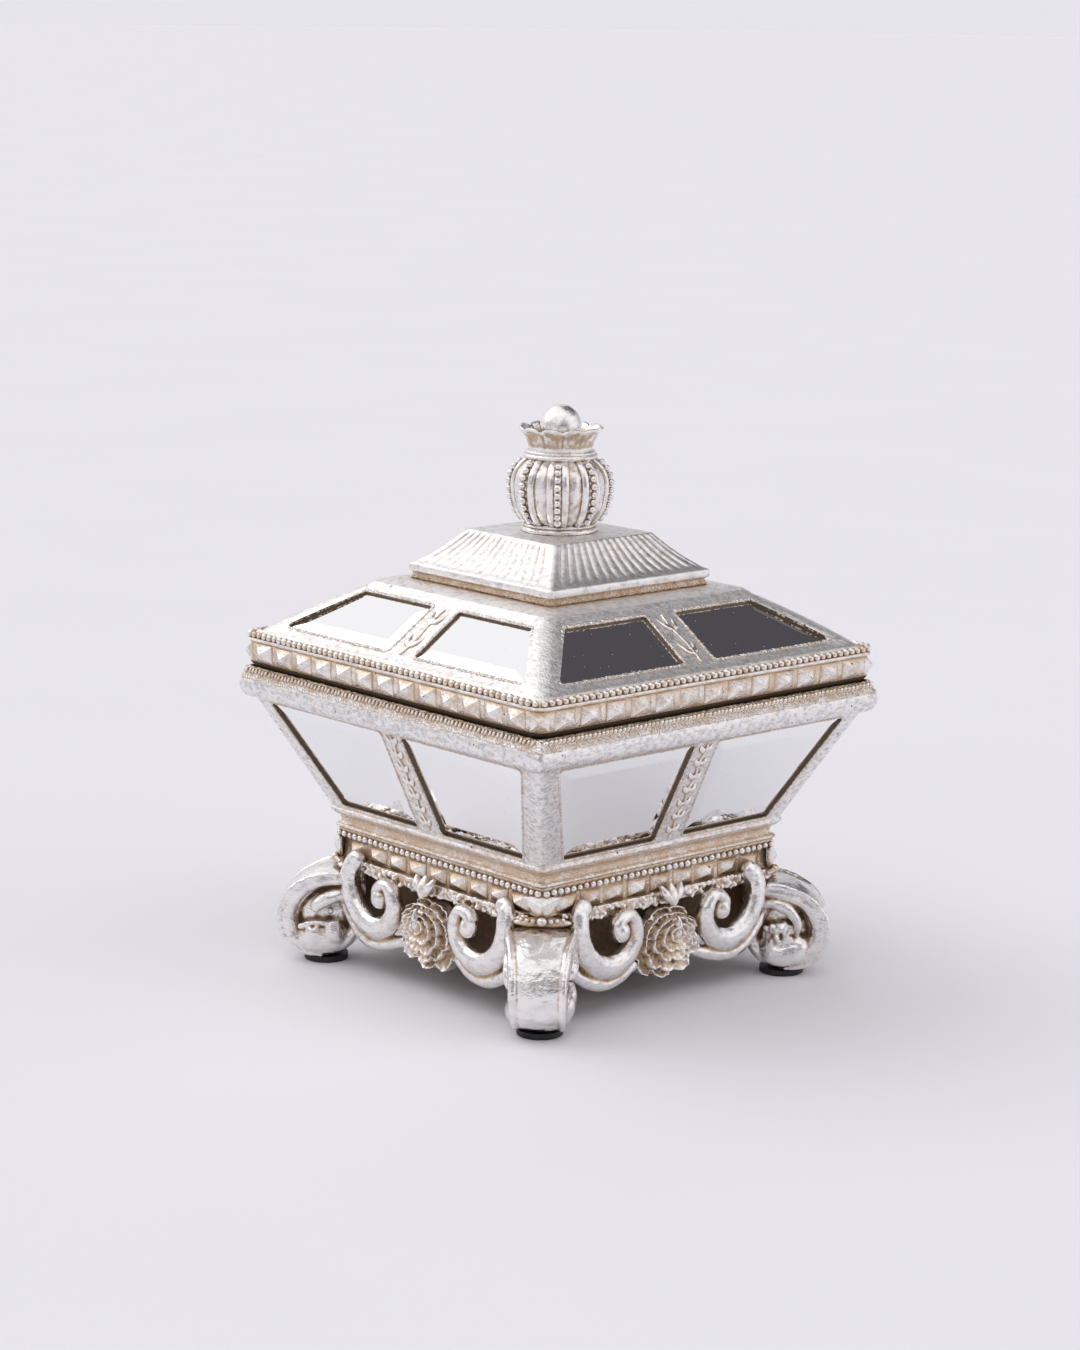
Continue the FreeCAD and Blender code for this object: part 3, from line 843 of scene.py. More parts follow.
def underside():
    """Brown bottom of the box, sunk behind the aprons; its dark brown also paints the shade under
    the box and in the scroll holes.
    """
    low, half = plinth_bottom - 16.0, plinth_half - 6.0
    profile = [(half - 2.0, low - 0.1), (half - 0.5, low), (half, low + 0.6),
               (half, plinth_bottom + 1)]
    piece = new_object("underside_brown_and_shade", square_sweep(profile, 3.0, 12, 4, closed=False))
    return finished(smooth_by_angle(piece), "box", brown_and_painted_shade)


def plinth():
    """Plain band that carries the base studs and beads."""
    low, half = plinth_bottom, plinth_half
    inner = body_inner(plinth_top)
    profile = [
        (half - 1.9, low), (half - 1.1, low + 0.3), (half - 0.7, low + 1.0),
        (half - 0.8, low + 2.3), (half - 1.0, low + 3.4), (half - 0.6, low + 3.9),
        (half - 1.0, stud_band[0]), (half - 1.0, stud_band[1]), (half - 0.5, 42.3),
        (half - 0.2, 42.8), (half - 0.5, base_bead_height), (half, 44.5), (half + 0.2, 45.1),
        (half, 45.6), (half - 0.3, plinth_top), (inner, plinth_top), (inner, low)]
    piece = new_object("plinth_band", square_sweep(profile, 2.4, 90, 6))
    return finished(smooth_by_angle(piece), "box", gold_leaf, ["base_plinth"])


plinth()
base_moulding()
underside()
base_studs = stud_row(plinth_half - 0.9, sum(stud_band) / 2, 10, 8.5, 5.4, 2.7, 3.5)
kite = corner_stud(plinth_half - 0.9, 39.9, 12.8, 5.4, 2.4, drop=1.8)
kites = [moved(kite, turn=corner_turn) for corner_turn in SIDES.values()]
finished(roughened(new_object("corner_kites", merged(kites)), 0.25), "box", smooth_leaf)
finished(roughened(new_object("base_studs", merged(base_studs)), 0.3), "box", stud_leaf)
beads = bead_row(plinth_half + 0.15, base_bead_height, 37, 1.2, 2.6)
finished(new_object("base_beads", beads), "box", bead_leaf)


# ---- aprons -------------------------------------------------------------------------------
def on_front(x, z, out):
    """A point in front of the plinth's front face."""
    return (x, -plinth_half - out, z)


def strand(control, count, sides=14):
    """Tube from rows of (x, z, out, half width, half depth) on the front side."""
    rows = curve(control, count)
    path = np.array([on_front(x, z, out) for x, z, out in rows[:, :3]])
    return tube(path, rows[:, 3], rows[:, 4], (0, -1, 0), sides)


def mirrored(part):
    points, faces = part
    return points * np.array([-1, 1, 1]), [face[::-1] for face in faces]


def c_scroll():
    """C-scroll right of the flower: blade at the outer end, bulb at the inner one."""
    band = strand([
        (36.2, 38.6, 2.4, 2.6, 1.8), (38.0, 36.6, 3.2, 3.3, 2.7), (39.2, 32.8, 3.9, 3.5, 3.1),
        (38.8, 27.8, 4.1, 3.6, 3.3), (36.3, 22.5, 4.0, 3.9, 3.3), (31.8, 18.4, 3.9, 4.1, 3.3),
        (25.8, 16.8, 3.9, 4.1, 3.3), (19.8, 18.6, 4.0, 3.8, 3.2), (16.0, 23.4, 4.2, 3.3, 3.1),
        (15.8, 28.6, 4.4, 2.8, 3.0), (18.2, 32.3, 4.6, 2.3, 2.8), (21.6, 32.0, 4.6, 2.2, 2.7),
        (23.6, 29.6, 4.6, 2.4, 2.7), (23.0, 27.4, 4.7, 2.2, 2.5)], 80)
    bulb = ball(on_front(22.3, 27.6, 4.9), (3.1, 3.2, 3.6), 10, 14)
    paddle = ball(on_front(37.0, 37.2, 3.0), (3.4, 2.7, 3.4), 10, 14)
    tail = strand([
        (47.5, 25.5, 1.4, 1.7, 2.0), (43.0, 20.0, 2.0, 2.0, 2.2), (37.6, 14.9, 2.4, 2.2, 2.4),
        (32.0, 12.1, 2.8, 2.5, 2.6), (26.2, 11.3, 2.8, 2.5, 2.6), (20.0, 12.4, 2.4, 2.4, 2.4),
        (13.0, 14.6, 1.0, 2.0, 2.0)], 46)
    return [band, bulb, paddle, tail]


def flower_dome():
    """Layered petals: each layer rises to a scalloped lip and drops to the layer outside it."""
    wide, tall, rings, steps = 14.8, 12.0, 76, 220
    heart_height, sag = 24.4, 4.8
    layers = [(0.22, 5, 7.4), (0.42, 7, 6.9), (0.62, 8, 5.6), (0.81, 9, 3.9), (1.0, 9, 1.8)]
    turns = [chance.uniform(0, 6) for _ in layers]

    def lip(index, angle):
        reach, count, base = layers[index]
        notch = 1 - abs(math.sin(count * angle / 2 + turns[index])) ** 0.6
        return reach * (1 - 0.17 * notch - 0.035 * math.sin(3 * angle + 2 * index))

    points = [on_front(0, heart_height, layers[0][2])]
    for ring in range(1, rings + 1):
        for step in range(steps):
            angle = 2 * math.pi * step / steps
            lips = [lip(index, angle) for index in range(len(layers))]
            reach = lips[-1] * ring / rings
            index = next((place for place, value in enumerate(lips) if reach <= value + 1e-9), -1)
            index = index % len(layers)
            inner = lips[index - 1] if index else 0.0
            share = (reach - inner) / (lips[index] - inner)
            count = layers[index][1]
            crease = abs(math.cos(count * angle / 2 + turns[index])) ** 3
            ripple = 0.25 * math.sin(3 * count * angle) * share
            height = layers[index][2] + 1.9 * share ** 1.8 - 0.7 * crease * share + ripple
            centre_z = heart_height - sag * reach
            points.append(on_front(reach * wide * math.sin(angle),
                                   centre_z - reach * tall * math.cos(angle), height))
    for step in range(steps):
        x, _, z = points[1 + (rings - 1) * steps + step]
        points.append(on_front(x, z, -1.0))
    points.append(on_front(0, 20, -1.0))
    last = len(points) - 1
    faces = [(0, 1 + step, 1 + (step + 1) % steps) for step in range(steps)]
    faces += [tuple(index + 1 for index in face)
              for face in grid_faces(rings + 1, steps, close_columns=True)]
    start = 1 + rings * steps
    faces += [(last, start + (step + 1) % steps, start + step) for step in range(steps)]
    return np.array(points), [face[::-1] for face in faces]


def flower():
    parts = [flower_dome(), ball(on_front(0, 24.0, 7.4), (1.5, 2.2, 2.3), 9, 12)]
    tip = [(0, 25.6, 8.8, 1.3, 1.2), (0, 27.6, 8.6, 0.8, 1.1), (0, 29.6, 7.8, 0.4, 0.8)]
    parts.append(strand(tip, 10, 10))
    return parts


def bud():
    """Two-lobed leaf at the top of the flower, over the middle stud."""
    lobe = strand([(0.3, 33.2, 4.6, 0.8, 1.4), (1.6, 35.0, 5.2, 1.5, 1.6),
                   (3.3, 37.0, 5.0, 1.5, 1.5), (4.3, 39.4, 4.0, 0.5, 0.8)], 22, 12)
    heart = strand([(0, 39.6, 3.6, 0.7, 0.9), (0, 37.2, 4.9, 1.7, 1.6), (0, 34.6, 5.6, 2.0, 1.8),
                    (0, 32.4, 5.6, 0.7, 1.2)], 22, 12)
    return [lobe, mirrored(lobe), heart]


def granules():
    """Crumbly strip of tiny grains under the studs."""
    grains = [box_between((-apron_half, -plinth_half - 1.6, 32.6),
                          (apron_half, -plinth_half + 1.4, 36.4))]
    for _ in range(230):
        x = chance.uniform(-apron_half - 2, apron_half + 2)
        size = chance.uniform(0.55, 1.0)
        spot = on_front(x, chance.uniform(32.6, 36.3), chance.uniform(1.2, 2.3))
        grains.append(ball(spot, size, 5, 7))
    return grains


apron_half = 44.0
scrolls = bud()
for part in c_scroll():
    scrolls += [part, mirrored(part)]
first_scrolls = hammered(fused("first_scrolls", scrolls, 0.42, smooth=2, keep=0.6), 3.0, 0.14)
first_blossom = fused("first_blossom", flower() + granules(), 0.4, smooth=1, keep=0.6)
hammered(first_blossom, 2.0, 0.1)
shade_hollows(first_scrolls, 10)
shade_hollows(first_blossom, 6)
for side, angle in SIDES.items():
    carving = turned_copy(first_scrolls, "carved_apron_" + side, angle)
    finished(carving, "box", carved_leaf, ["apron_" + side])
    blossom = turned_copy(first_blossom, "apron_blossom_" + side, angle)
    finished(blossom, "box", blossom_leaf)
bpy.data.objects.remove(first_scrolls)
bpy.data.objects.remove(first_blossom)


# ---- feet ---------------------------------------------------------------------------------
def foot_strand(control, count, sides=14, reference=(0, 1, 0)):
    """Tube from rows of (distance from the axis, z, y, half width in plane, half depth in y)."""
    rows = curve(control, count)
    path = rows[:, [0, 2, 1]]
    return tube(path, rows[:, 3], rows[:, 4], reference, sides)


def slab(control, count, sides=24, power=0.85):
    """Like foot_strand, with a flatter, strap-like section."""
    rows = curve(control, count)
    path = rows[:, [0, 2, 1]]
    tangent = unit(np.gradient(path, axis=0))
    side = np.cross(tangent, (0, 1, 0))
    points = []
    for spot, normal, thick, wide in zip(path, side, rows[:, 3], rows[:, 4]):
        for step in range(sides):
            angle = 2 * math.pi * step / sides
            c, s = math.cos(angle), math.sin(angle)
            points.append(spot + normal * thick * math.copysign(abs(c) ** power, c)
                          + np.array((0, 1, 0)) * wide * math.copysign(abs(s) ** power, s))
    faces = capped(grid_faces(count, sides, close_columns=True), count, sides)
    return np.array(points), faces


def foot_carving():
    """Scroll foot that points along +X: a strap rolled over a core, carved on both faces."""
    strap_path = [
        (64.0, 29.2, 0, 2.8, 11.2), (70.0, 29.7, 0, 3.0, 11.9), (76.0, 29.0, 0, 3.3, 11.6),
        (82.2, 26.0, 0, 3.7, 10.4), (86.6, 21.0, 0, 4.0, 9.6), (88.0, 15.6, 0, 4.0, 9.4),
        (86.6, 10.2, 0, 4.0, 9.2), (82.4, 6.4, 0, 3.7, 8.8), (76.2, 5.0, 0, 3.0, 8.4),
        (70.6, 6.2, 0, 2.9, 8.0), (66.9, 10.0, 0, 2.8, 7.6), (66.4, 15.0, 0, 2.4, 7.0),
        (69.2, 18.6, 0, 1.8, 6.0)]
    parts = [slab(strap_path, 90), ball((72.5, 0, 27.0), (9.0, 8.6, 4.6), 10, 16)]
    rows = curve(strap_path[1:9], 60)
    tangent = unit(np.gradient(rows[:, :2], axis=0))
    for hand in (-1, 1):
        lip = rows.copy()
        lip[:, 2] = hand * (rows[:, 4] - 1.6)
        lip[:, 0] -= tangent[:, 1] * rows[:, 3] * 0.66
        lip[:, 1] += tangent[:, 0] * rows[:, 3] * 0.66
        parts.append(tube(lip[:, [0, 2, 1]], 1.2, 1.3, (0, 1, 0), 10))
        parts.append(ball((76.6, hand * 1.5, 15.6), (10.6, 4.6, 11.0), 12, 20))
        parts.append(ball((77.0, hand * 4.6, 8.8), (10.0, 6.0, 6.6), 12, 20))
    # +Y face: a tongue, a small ball and two broad petals that run out at the bottom
    parts.append(foot_strand([(65.0, 24.4, 7.0, 2.5, 2.6), (70.0, 24.2, 8.2, 2.7, 2.8),
                              (75.0, 22.8, 9.0, 2.7, 2.9), (78.0, 20.4, 9.2, 2.3, 2.6),
                              (77.6, 18.6, 9.0, 1.3, 1.6)], 36))
    parts.append(ball((73.6, 8.2, 18.4), 1.3))
    petals = [((73.2, 15.4), (72.6, 10.6), (72.8, 6.4), 3.3),
              ((79.6, 13.0), (79.2, 9.8), (78.6, 6.4), 3.3)]
    for (x0, z0), (x1, z1), (x2, z2), wide in petals:
        parts.append(foot_strand([(x0, z0, 8.6, wide * 0.75, 2.2), (x1, z1, 8.4, wide, 2.8),
                                  (x2, z2, 5.6, wide, 2.6)], 20))
    for index in range(12):
        share = index / 11
        parts.append(ball((76.2 + 7.6 * share, 9.4 - 0.6 * share, 14.6 - 1.6 * share ** 2),
                          chance.uniform(0.7, 1.15), 6, 8))
    # -Y face: a crescent and a cluster of seeds over a smooth lobe
    parts.append(foot_strand([(66.0, 25.0, -6.8, 2.0, 2.3), (72.0, 25.6, -8.4, 2.2, 2.5),
                              (77.6, 23.6, -9.2, 2.1, 2.5), (80.8, 19.4, -9.2, 1.7, 2.3),
                              (81.0, 15.6, -8.8, 0.9, 1.6)], 40))
    parts.append(ball((75.4, -5.0, 14.0), (6.4, 4.0, 5.4), 10, 16))
    for _ in range(46):
        angle, reach = chance.uniform(0, 2 * math.pi), 6.0 * math.sqrt(chance.random())
        lift = 9.6 - 0.08 * reach ** 2
        parts.append(ball((75.4 + reach * math.cos(angle), -lift, 14.0 + reach * math.sin(angle)),
                          chance.uniform(0.8, 1.35), 6, 8))
    parts.append(ball((76.6, -6.6, 8.0), (8.0, 4.4, 5.0), 12, 20))
    return parts


first_foot = hammered(fused("foot_carving", foot_carving(), 0.42, smooth=4, keep=0.7), 6.0, 0.3)
shade_hollows(first_foot, 12)
spread(first_foot, "scroll_foot_", CORNERS, "box", foot_leaf, "foot_")


def corner_trim():
    """Thin tan collar over each foot with one large bead between smaller ones."""
    reach = (plinth_half - 0.4) * math.sqrt(2)
    trims = []
    for angle in CORNERS.values():
        trims.append(moved(ball((reach - 2.2, 0, 34.0), (2.4, 9.4, 1.7), 8, 18), turn=angle))
        trims.append(moved(ball((reach + 0.9, 0, 35.0), (1.5, 1.7, 1.5)), turn=angle))
        for hand in (-1, 1):
            for index, size in enumerate((0.95, 0.85, 0.75)):
                spot = (reach + 0.2 - 0.7 * index, hand * (2.7 + 1.9 * index), 34.9 + 0.1 * index)
                trims.append(moved(ball(spot, size), turn=angle))
    return merged(trims)


finished(new_object("corner_trim", corner_trim()), "box", carved_leaf)


# ---- lid ----------------------------------------------------------------------------------
lid_band = (101.3, 107.7)
crown_height = 129.8
shoulder_half = 46.2
lid_pane_bottom = 113.4
lid_vine_top = 125.6


def lid_outer(half):
    low = lid_side.half(lid_pane_bottom)
    run = lid_side.normal[1] / lid_side.normal[2]
    return lid_pane_bottom + (half - low) * run + lid_proud / lid_side.normal[2]


def lid_inner(half):
    return lid_outer(half) - (wall_depth + lid_proud) / lid_side.normal[2]


def lid_shell():
    """Hipped casting with a locating lip, a banded edge and openings for the panes."""
    ceiling = 125.0
    lip_half, lip_inner = 64.0, 61.0
    ceiling_half = 46.0
    while lid_inner(ceiling_half) < ceiling:
        ceiling_half -= 0.05
    edge = [
        (lip_half, lip_bottom + 0.4), (lip_half, seat_height), (69.6, seat_height),
        (70.9, seat_height + 0.7), (71.3, 99.6), (71.9, 100.6), (72.6, lid_band[0]),
        (72.6, lid_band[1]), (73.2, 108.0), (73.5, 108.5), (73.3, 109.0), (72.6, 109.3),
        (72.0, 109.8), (71.6, 110.6), (71.2, 111.2), (70.7, 111.6)]
    slope = [(half, lid_outer(half)) for half in np.linspace(70.2, shoulder_half, 13)]
    first_slope = len(edge)
    crown = [(44.0, 128.75), (40.0, 129.4), (36.5, crown_height), (6.0, crown_height)]
    under = [(6.0, ceiling), (ceiling_half, ceiling), (lip_inner, lid_inner(lip_inner)),
             (lip_inner, lip_bottom + 0.4), (lip_inner + 0.4, lip_bottom),
             (lip_half - 0.4, lip_bottom)]

    def hips(path, span, half, row):
        """The hips stand a little proud of the sloping faces."""
        place = (row - first_slope) / (len(slope) - 1)
        if not 0 < place < 1:
            return 0.0
        away = min(path, span - path) / 7.5
        swell = math.sin(math.pi * place) ** 0.7
        return 1.5 * swell * math.exp(-away ** 2)

    shell = new_object("lid_shell", square_sweep(edge + slope + crown + under, 4.4, 48, 7, hips))
    windows = [pane.window(-0.2, 0.8, 0.0, pane.thickness, 14) for pane in lid_panes]
    cut(shell, merged(windows), 0.2, lid_leaf, rebate_painted_shade)
    smooth_by_angle(shell)
    return finished(shell, "lid", nodes=["lid_frame"])


lid_shell()
lid_studs = stud_row(72.8, sum(lid_band) / 2, 14, 8.3, 6.0, 2.3, 4.5)
for corner_turn in SIDES.values():
    wrapped = corner_stud(70.85, sum(lid_band) / 2, 5.8, 6.0, 2.6)
    lid_studs.append(moved(wrapped, turn=corner_turn))
finished(roughened(new_object("lid_studs", merged(lid_studs)), 0.3), "lid", stud_leaf)
band_back = square_sweep([(72.2, 101.0), (72.75, 101.2), (72.75, 107.8), (72.2, 108.0)], 4.4, 60, 7)
finished(new_object("lid_stud_band", band_back), "lid", stud_leaf)
# Dark ring under the lid's stud band: painted shade for the gap between the lid and the box
shadow_line = [(69.9, 97.1), (71.0, 97.6), (71.5, 99.6), (72.4, 100.3), (72.6, 100.6),
               (72.8, 101.0), (72.4, 101.2), (71.0, 99.5)]
piece = new_object("lid_shadow_line", square_sweep(shadow_line, 4.4, 60, 7))
finished(smooth_by_angle(piece), "lid", painted_gap_shade)
beads = bead_row(72.75, 110.1, 53, 1.2, 4.2)
finished(new_object("lid_beads", beads), "lid", carved_leaf)
edging = merged([pane.edging(0.35, 0.0, lid_proud - 0.1, 0.6, 0.4, 0.4) for pane in lid_panes])
finished(new_object("lid_window_edging", edging), "lid", edge_leaf)


# ---- leafy mullions -----------------------------------------------------------------------
def vine(side, low, high, out, wide):
    """Carved vine up the middle of a face: a wavy stem with paired leaves."""
    parts = []
    rows = []
    pitch = 4.3
    count = int((high - low) / pitch)
    for step in range(count * 4 + 1):
        share = step / (count * 4)
        height = low + (high - low) * share
        rows.append(side.point(0.5 * math.sin(share * count * math.pi), height, out + 0.1))
    parts.append(tube(np.array(rows), 0.55, 0.6, side.normal, 8))
    for index in range(count):
        height = low + (index + 0.35) * (high - low) / count
        for hand in (-1, 1):
            start = side.point(0.2 * hand, height, out)
            bend = side.point(wide * 0.62 * hand, height + 1.1, out + 0.25)
            end = side.point(wide * hand, height + 3.0, out - 0.1)
            path = curve([start, bend, end], 9)
            swell = np.sin(np.linspace(0.5, math.pi - 0.15, 9))
            parts.append(tube(path, 1.1 * swell, 0.5 * swell + 0.1, side.normal, 8))
        parts.append(ball(side.point(0, height + 1.2, out + 0.2), 0.7, 6, 8))
    return parts


def mullion_trim(name, body, side, low, high, out, wide):
    piece = fused(name + "_first", vine(side, low, high, out, wide), 0.28, smooth=1, keep=0.7)
    shade_hollows(hammered(piece, 1.5, 0.08), 6)
    spread(piece, name + "_", SIDES, body, carved_leaf)


mullion_trim("body_vine", "box", body_side, 54.5, 88.0, body_proud, 2.6)
mullion_trim("lid_vine", "lid", lid_side, lid_pane_bottom, lid_vine_top, lid_proud, 3.0)


# ---- fluted tier --------------------------------------------------------------------------
def tier():
    """Square tier on the lid's flat top: a plain moulding under fluted slopes."""
    base, top = tier_bottom, tier_top
    moulding = [
        (tier_half - 1.3, base), (tier_half - 1.6, base + 0.6), (tier_half - 1.7, base + 1.5),
        (tier_half - 1.2, base + 2.1), (tier_half - 0.4, base + 2.5), (tier_half, base + 3.0),
        (tier_half, base + 4.6), (tier_half - 0.3, base + 5.1), (tier_half - 1.0, base + 5.5)]
    shelf_half, shelf = 21.9, top - 0.35
    first, last = len(moulding), 18
    slope = []
    for step in range(last):
        share = step / (last - 1)
        half = tier_half - 1.6 + (shelf_half - tier_half + 1.6) * share
        dip = 0.7 * math.sin(math.pi * share)
        slope.append((half, base + 5.7 + (shelf - base - 5.7) * share - dip))
    cap = [(21.6, top - 0.1), (21.2, top)]

    def flutes(path, span, half, row):
        place = (row - first) / (last - 1)
        if not 0 <= place <= 1:
            return 0.0
        ends = min(1.0, 7 * place, 7 * (1 - place) + 0.25)
        edge = min(1.0, max(0.0, (min(path, span - path) - 1.5) / 1.5))
        rib = abs(math.sin(math.pi * 16.5 * path / span))
        return ends * edge * 0.75 * (rib ** 0.7 - 1)

    part = square_sweep(moulding + slope + cap, 1.5, 230, 4, flutes, closed=False)
    piece = shade_hollows(new_object("fluted_tier", part), 3)
    return finished(piece, "lid", tier_leaf, ["crown_tier"])


def tier_crumbs():
    """Crumbly gold cast line under the fluted tier."""
    low, half = tier_bottom, tier_half - 1.5
    profile = [(half - 1.5, low - 0.3), (half + 0.5, low - 0.2), (half + 0.9, low + 0.5),
               (half + 0.5, low + 1.2), (half + 0.3, low + 1.9), (half + 0.7, low + 2.5),
               (half - 1.5, low + 2.6)]
    piece = new_object("tier_crumbs", square_sweep(profile, 1.0, 160, 3))
    return finished(hammered(piece, 1.0, 0.3), "lid", edge_leaf)


tier()
tier_crumbs()


# ---- finial -------------------------------------------------------------------------------
bulb_middle = 161.0


def finial_disc():
    low, high, edge = tier_top, disc_top, disc_radius
    profile = [(0, low), (edge - 0.3, low), (edge, low + 0.3), (edge + 0.1, low + 0.9),
               (edge - 0.2, low + 1.4), (edge - 0.8, low + 1.6), (edge - 0.7, low + 1.9),
               (edge - 0.3, low + 2.2), (edge - 0.6, low + 2.6), (edge - 1.6, high), (0, high)]
    piece = shade_hollows(hammered(new_object("finial_disc", lathe(profile, 72)), 3.0, 0.1), 2)
    return finished(piece, "lid", smooth_leaf, ["finial_base"])


def bulb_outline(count):
    """Outline of the finial's bulb as (radius, height) rows, bottom to top."""
    edge = bulb_radius
    return curve([(edge - 4.9, disc_top), (edge - 2.6, disc_top + 2.4),
                  (edge - 0.9, disc_top + 6.0), (edge, bulb_middle),
                  (edge - 0.6, bulb_middle + 4.2),
                  (edge - 2.5, bulb_top - 2.2), (edge - 5.0, bulb_top)], count)


def bulb():
    outline = bulb_outline(26)
    profile = [(0, disc_top - 0.2)] + [tuple(row) for row in outline] + [(0, bulb_top)]

    def gores(angle, index, radius, height):
        share = abs(((angle * 8 / (2 * math.pi)) + 0.5) % 1 - 0.5) * 2
        crown = 1.0 - min(1.0, abs(share - 1) / 0.62) ** 2.2
        return radius - 1.5 + 1.1 * crown, height

    piece = hammered(new_object("finial_bulb_skin", lathe(profile, 192, gores)), 2.4, 0.16)
    shade_hollows(piece, 6)
    return finished(piece, "lid", bulb_leaf, ["finial_bulb"])


def bulb_straps():
    """Eight straps over the bulb: a band between two rails, with pearls along it."""
    straps, strap_turn, strap_pearls = 8, 8.8, 9
    rails, pearls = [], []
    outline = bulb_outline(40)

    def meridian(angle, sunk, across, depth):
        cosine, sine = math.cos(angle), math.sin(angle)
        path = np.array([((r - sunk) * cosine, (r - sunk) * sine, z) for r, z in outline])
        return tube(path, across, depth, (cosine, sine, 0), 10)

    lengths = np.cumsum(np.r_[0, np.linalg.norm(np.diff(outline, axis=0), axis=1)])
    for index in range(straps):
        turn = 45 * index
        for hand in (-1, 1):
            rails.append(meridian(math.radians(turn + strap_turn * hand), 0.6, 1.45, 1.0))
        angle = math.radians(turn)
        rails.append(meridian(angle, 0.75, 1.9, 0.8))
        for step in range(strap_pearls):
            reach = lengths[-1] * (0.09 + 0.82 * step / 8)
            radius = np.interp(reach, lengths, outline[:, 0]) + 0.75
            height = np.interp(reach, lengths, outline[:, 1])
            spot = (radius * math.cos(angle), radius * math.sin(angle), height)
            pearls.append(ball(spot, chance.uniform(1.05, 1.3), 7, 10))
    rail_piece = hammered(new_object("finial_rails", merged(rails)), 1.6, 0.12)
    finished(rail_piece, "lid", bead_leaf)
    finished(new_object("finial_pearls", merged(pearls)), "lid", bead_leaf)


def finial_cup():
    """Ringed collar over the bulb, and the scalloped cup that flares from it."""
    low, edge = bulb_top, 12.2
    neck = low + 2.8
    ring = [(0, low - 0.3), (edge - 1.4, low - 0.2), (edge - 0.5, low + 0.1), (edge, low + 0.7),
            (edge - 0.2, low + 1.3), (edge - 0.9, low + 1.6), (edge - 0.8, low + 1.9),
            (edge - 0.9, low + 2.3), (edge - 1.6, low + 2.7), (0, low + 2.8)]
    outside = curve([(10.2, neck - 0.4), (10.5, neck + 1.4), (11.4, neck + 3.6), (12.6, neck + 5.6),
                     (13.7, crown_top + 0.1)], 14)
    lip = [(13.9, crown_top + 0.5), (13.5, crown_top + 0.8), (12.7, crown_top + 0.3)]
    inside = curve([(11.6, neck + 5.4), (9.8, neck + 3.4), (8.0, neck + 1.8)], 7)
    profile = ([(0, neck - 0.4)] + [tuple(row) for row in outside] + lip
               + [tuple(row) for row in inside] + [(0, neck + 1.6)])

    def petals(angle, index, radius, height):
        share = abs(math.sin(angle * 11 / 2 + 0.6))
        crown = min(1.0, share / 0.45) ** 0.6
        rise = min(1.0, max(0.0, (height - neck) / (crown_top - neck)))
        pinch = (1 - crown) * 1.1 * rise ** 0.6
        notch = (1 - share ** 0.5) * 1.3 * rise ** 2
        return radius - pinch, height - notch

    collar = new_object("finial_collar", lathe(ring, 96))
    shade_hollows(hammered(collar, 2.0, 0.08), 2)
    finished(collar, "lid", smooth_leaf)
    cup = hammered(new_object("finial_petals", lathe(profile, 264, petals)), 2.0, 0.14)
    shade_hollows(cup, 6)
    return finished(cup, "lid", cup_leaf, ["finial_crown"])


def finial_egg():
    low = crown_top - 5.0
    outline = curve([(4.6, low), (6.2, low + 1.8), (cap_radius, low + 4.8), (6.6, low + 7.4),
                     (5.2, low + 10.0), (3.0, low + 12.0), (1.2, cap_top - 0.15)], 26)
    profile = [(0, low)] + [tuple(row) for row in outline] + [(0, cap_top)]
    egg = hammered(new_object("finial_egg", lathe(profile, 64)), 3.4, 0.09)
    shade_hollows(egg, 4)
    return finished(egg, "lid", egg_leaf, ["finial_cap"])


finial_disc()
bulb()
bulb_straps()
finial_cup()
finial_egg()


# ---- felt linings -------------------------------------------------------------------------
def felt_panel(node, name, body):
    """Soft-edged felt panel in the place of its CAD solid."""
    piece = linked(name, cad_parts[node].data.copy())
    modify(piece, "weld", "WELD", merge_threshold=0.01 * MM)
    modify(piece, "remesh", "REMESH", mode="VOXEL", voxel_size=0.7 * MM)
    modify(piece, "soften", "SMOOTH", factor=0.5, iterations=2)
    modify(piece, "thin", "DECIMATE", ratio=0.3)
    hammered(applied(piece), 7.0, 0.08)
    finished(piece, body, lining_felt, [node])
    return piece


felt_panel("floor_lining", "floor_felt", "box")
felt_panel("lid_lining_top", "lid_top_felt", "lid")
for side in SIDES:
    felt_panel("wall_lining_" + side, "wall_felt_" + side, "box")
    felt_panel("lid_lining_" + side, "lid_felt_" + side, "lid")


# ---- CAD pieces that stay -----------------------------------------------------------------
pad_rubber = rubber()
plain_steel = steel()
for place in PANE_PLACES:
    dress(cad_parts["body_mirror_" + place], glass)
    dress(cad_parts["lid_mirror_" + place], glass)
for corner in CORNERS:
    dress(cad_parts["foot_pad_" + corner], pad_rubber)
for node in ("finial_screw", "finial_washer", "finial_nut"):
    dress(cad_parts[node], plain_steel)


# ---- stage, light and camera --------------------------------------------------------------
def floor():
    size = 40.0
    mesh = bpy.data.meshes.new("floor")
    mesh.from_pydata([(-size, -size, 0), (size, -size, 0), (size, size, 0), (-size, size, 0)],
                     [], [(0, 1, 2, 3)])
    piece = linked("floor", mesh)
    shader = Shader("pale_paper")
    cloud = shader.noise(160.0, 2.0, 0.5)
    colour = shader.mixed(cloud, (0.888, 0.878, 0.913, 1), (0.918, 0.908, 0.943, 1))
    mesh.materials.append(shader.feed(Base_Color=colour, Roughness=0.9))
    shader.surface.inputs["Specular IOR Level"].default_value = 0.15


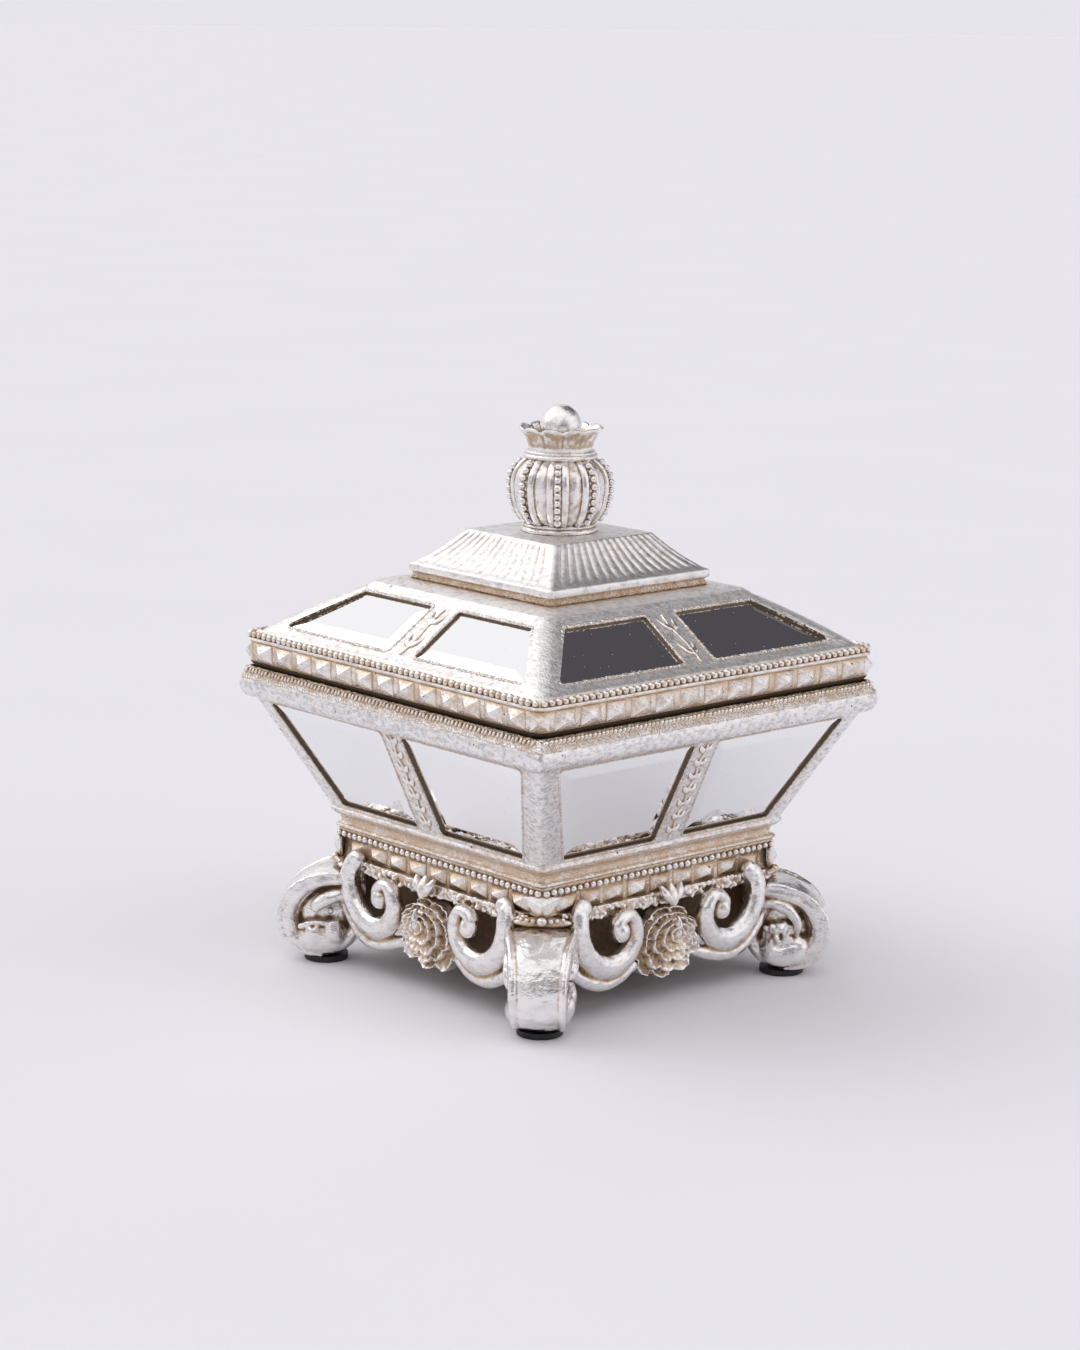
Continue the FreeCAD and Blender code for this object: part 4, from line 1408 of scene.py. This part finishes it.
def studio_light():
    """Pale room: bright to the left, with a dark stretch high up behind the right side."""
    world = bpy.data.worlds.new("studio")
    bpy.context.scene.world = world
    world.use_nodes = True
    tree = world.node_tree
    background = tree.nodes["Background"]

    def add(kind, **settings):
        node = tree.nodes.new(kind)
        for key, value in settings.items():
            setattr(node, key, value)
        return node

    way = add("ShaderNodeTexCoord").outputs["Generated"]

    def lobe(direction, outer, inner):
        """1 within inner degrees of a direction, 0 past outer degrees."""
        dot = add("ShaderNodeVectorMath", operation="DOT_PRODUCT")
        tree.links.new(way, dot.inputs[0])
        dot.inputs[1].default_value = Vector(direction).normalized()
        node = add("ShaderNodeMapRange", interpolation_type="SMOOTHSTEP")
        tree.links.new(dot.outputs["Value"], node.inputs["Value"])
        node.inputs["From Min"].default_value = math.cos(math.radians(outer))
        node.inputs["From Max"].default_value = math.cos(math.radians(inner))
        return node.outputs[0]

    def mixed(share, first, second):
        node = add("ShaderNodeMix", data_type="RGBA")
        tree.links.new(share, node.inputs[0])
        for index, value in ((6, first), (7, second)):
            if isinstance(value, bpy.types.NodeSocket):
                tree.links.new(value, node.inputs[index])
            else:
                node.inputs[index].default_value = (*value, 1)
        return node.outputs[2]

    colour = (0.722, 0.706, 0.757)      # near the horizon, as bright as the far floor
    patches = [                         # direction, outer and inner edge in degrees, colour
        ((0, 0, 1), 89, 84, (0.50, 0.49, 0.52)),
        ((0, 0, 1), 68, 34, (1.0, 1.0, 1.02)),
        ((0.8, 0.25, 0.55), 62, 25, (0.91, 0.90, 0.93)),
        ((-0.75, -0.05, 0.62), 52, 26, (0.84, 0.835, 0.85)),
        ((0.5, -0.6, 0.62), 34, 14, (0.95, 0.95, 0.95)),
        ((-0.12, 0.66, 0.74), 31, 15, (0.068, 0.064, 0.072)),
        ((0.87, -0.48, 0.05), 48, 18, (0.26, 0.25, 0.27))]
    for direction, outer, inner, tint in patches:
        colour = mixed(lobe(direction, outer, inner), colour, tint)
    tree.links.new(colour, background.inputs["Color"])
    background.inputs["Strength"].default_value = 1.1
    sun = bpy.data.lights.new("key", "SUN")
    sun.energy = 0.45
    sun.angle = math.radians(45)
    lamp = linked("key", sun)
    lamp.rotation_mode = "QUATERNION"
    lamp.rotation_quaternion = Vector((-0.62, -0.35, 0.72)).to_track_quat("Z", "Y")


def camera():
    """The photo's viewpoint; the aim and distance are in millimetres."""
    azimuth, elevation, roll = (math.radians(angle) for angle in (48.15, 11.54, 0.81))
    distance = 1070.3
    aim = Vector((-3.77, -4.20, cap_top * 0.524))
    back = Vector((math.sin(azimuth) * math.cos(elevation),
                   -math.cos(azimuth) * math.cos(elevation), math.sin(elevation)))
    right = Vector((0, 0, 1)).cross(back).normalized()
    up = back.cross(right)
    turned_right = right * math.cos(roll) + up * math.sin(roll)
    turned_up = up * math.cos(roll) - right * math.sin(roll)
    data = bpy.data.cameras.new("camera")
    data.lens = 87.0
    data.sensor_width = 36.0
    piece = linked("camera", data)
    place = Matrix((turned_right, turned_up, back)).transposed().to_4x4()
    place.translation = (aim + back * distance) * MM
    piece.matrix_world = place
    bpy.context.scene.camera = piece


floor()
studio_light()
camera()
bpy.context.scene.view_settings.view_transform = "Standard"
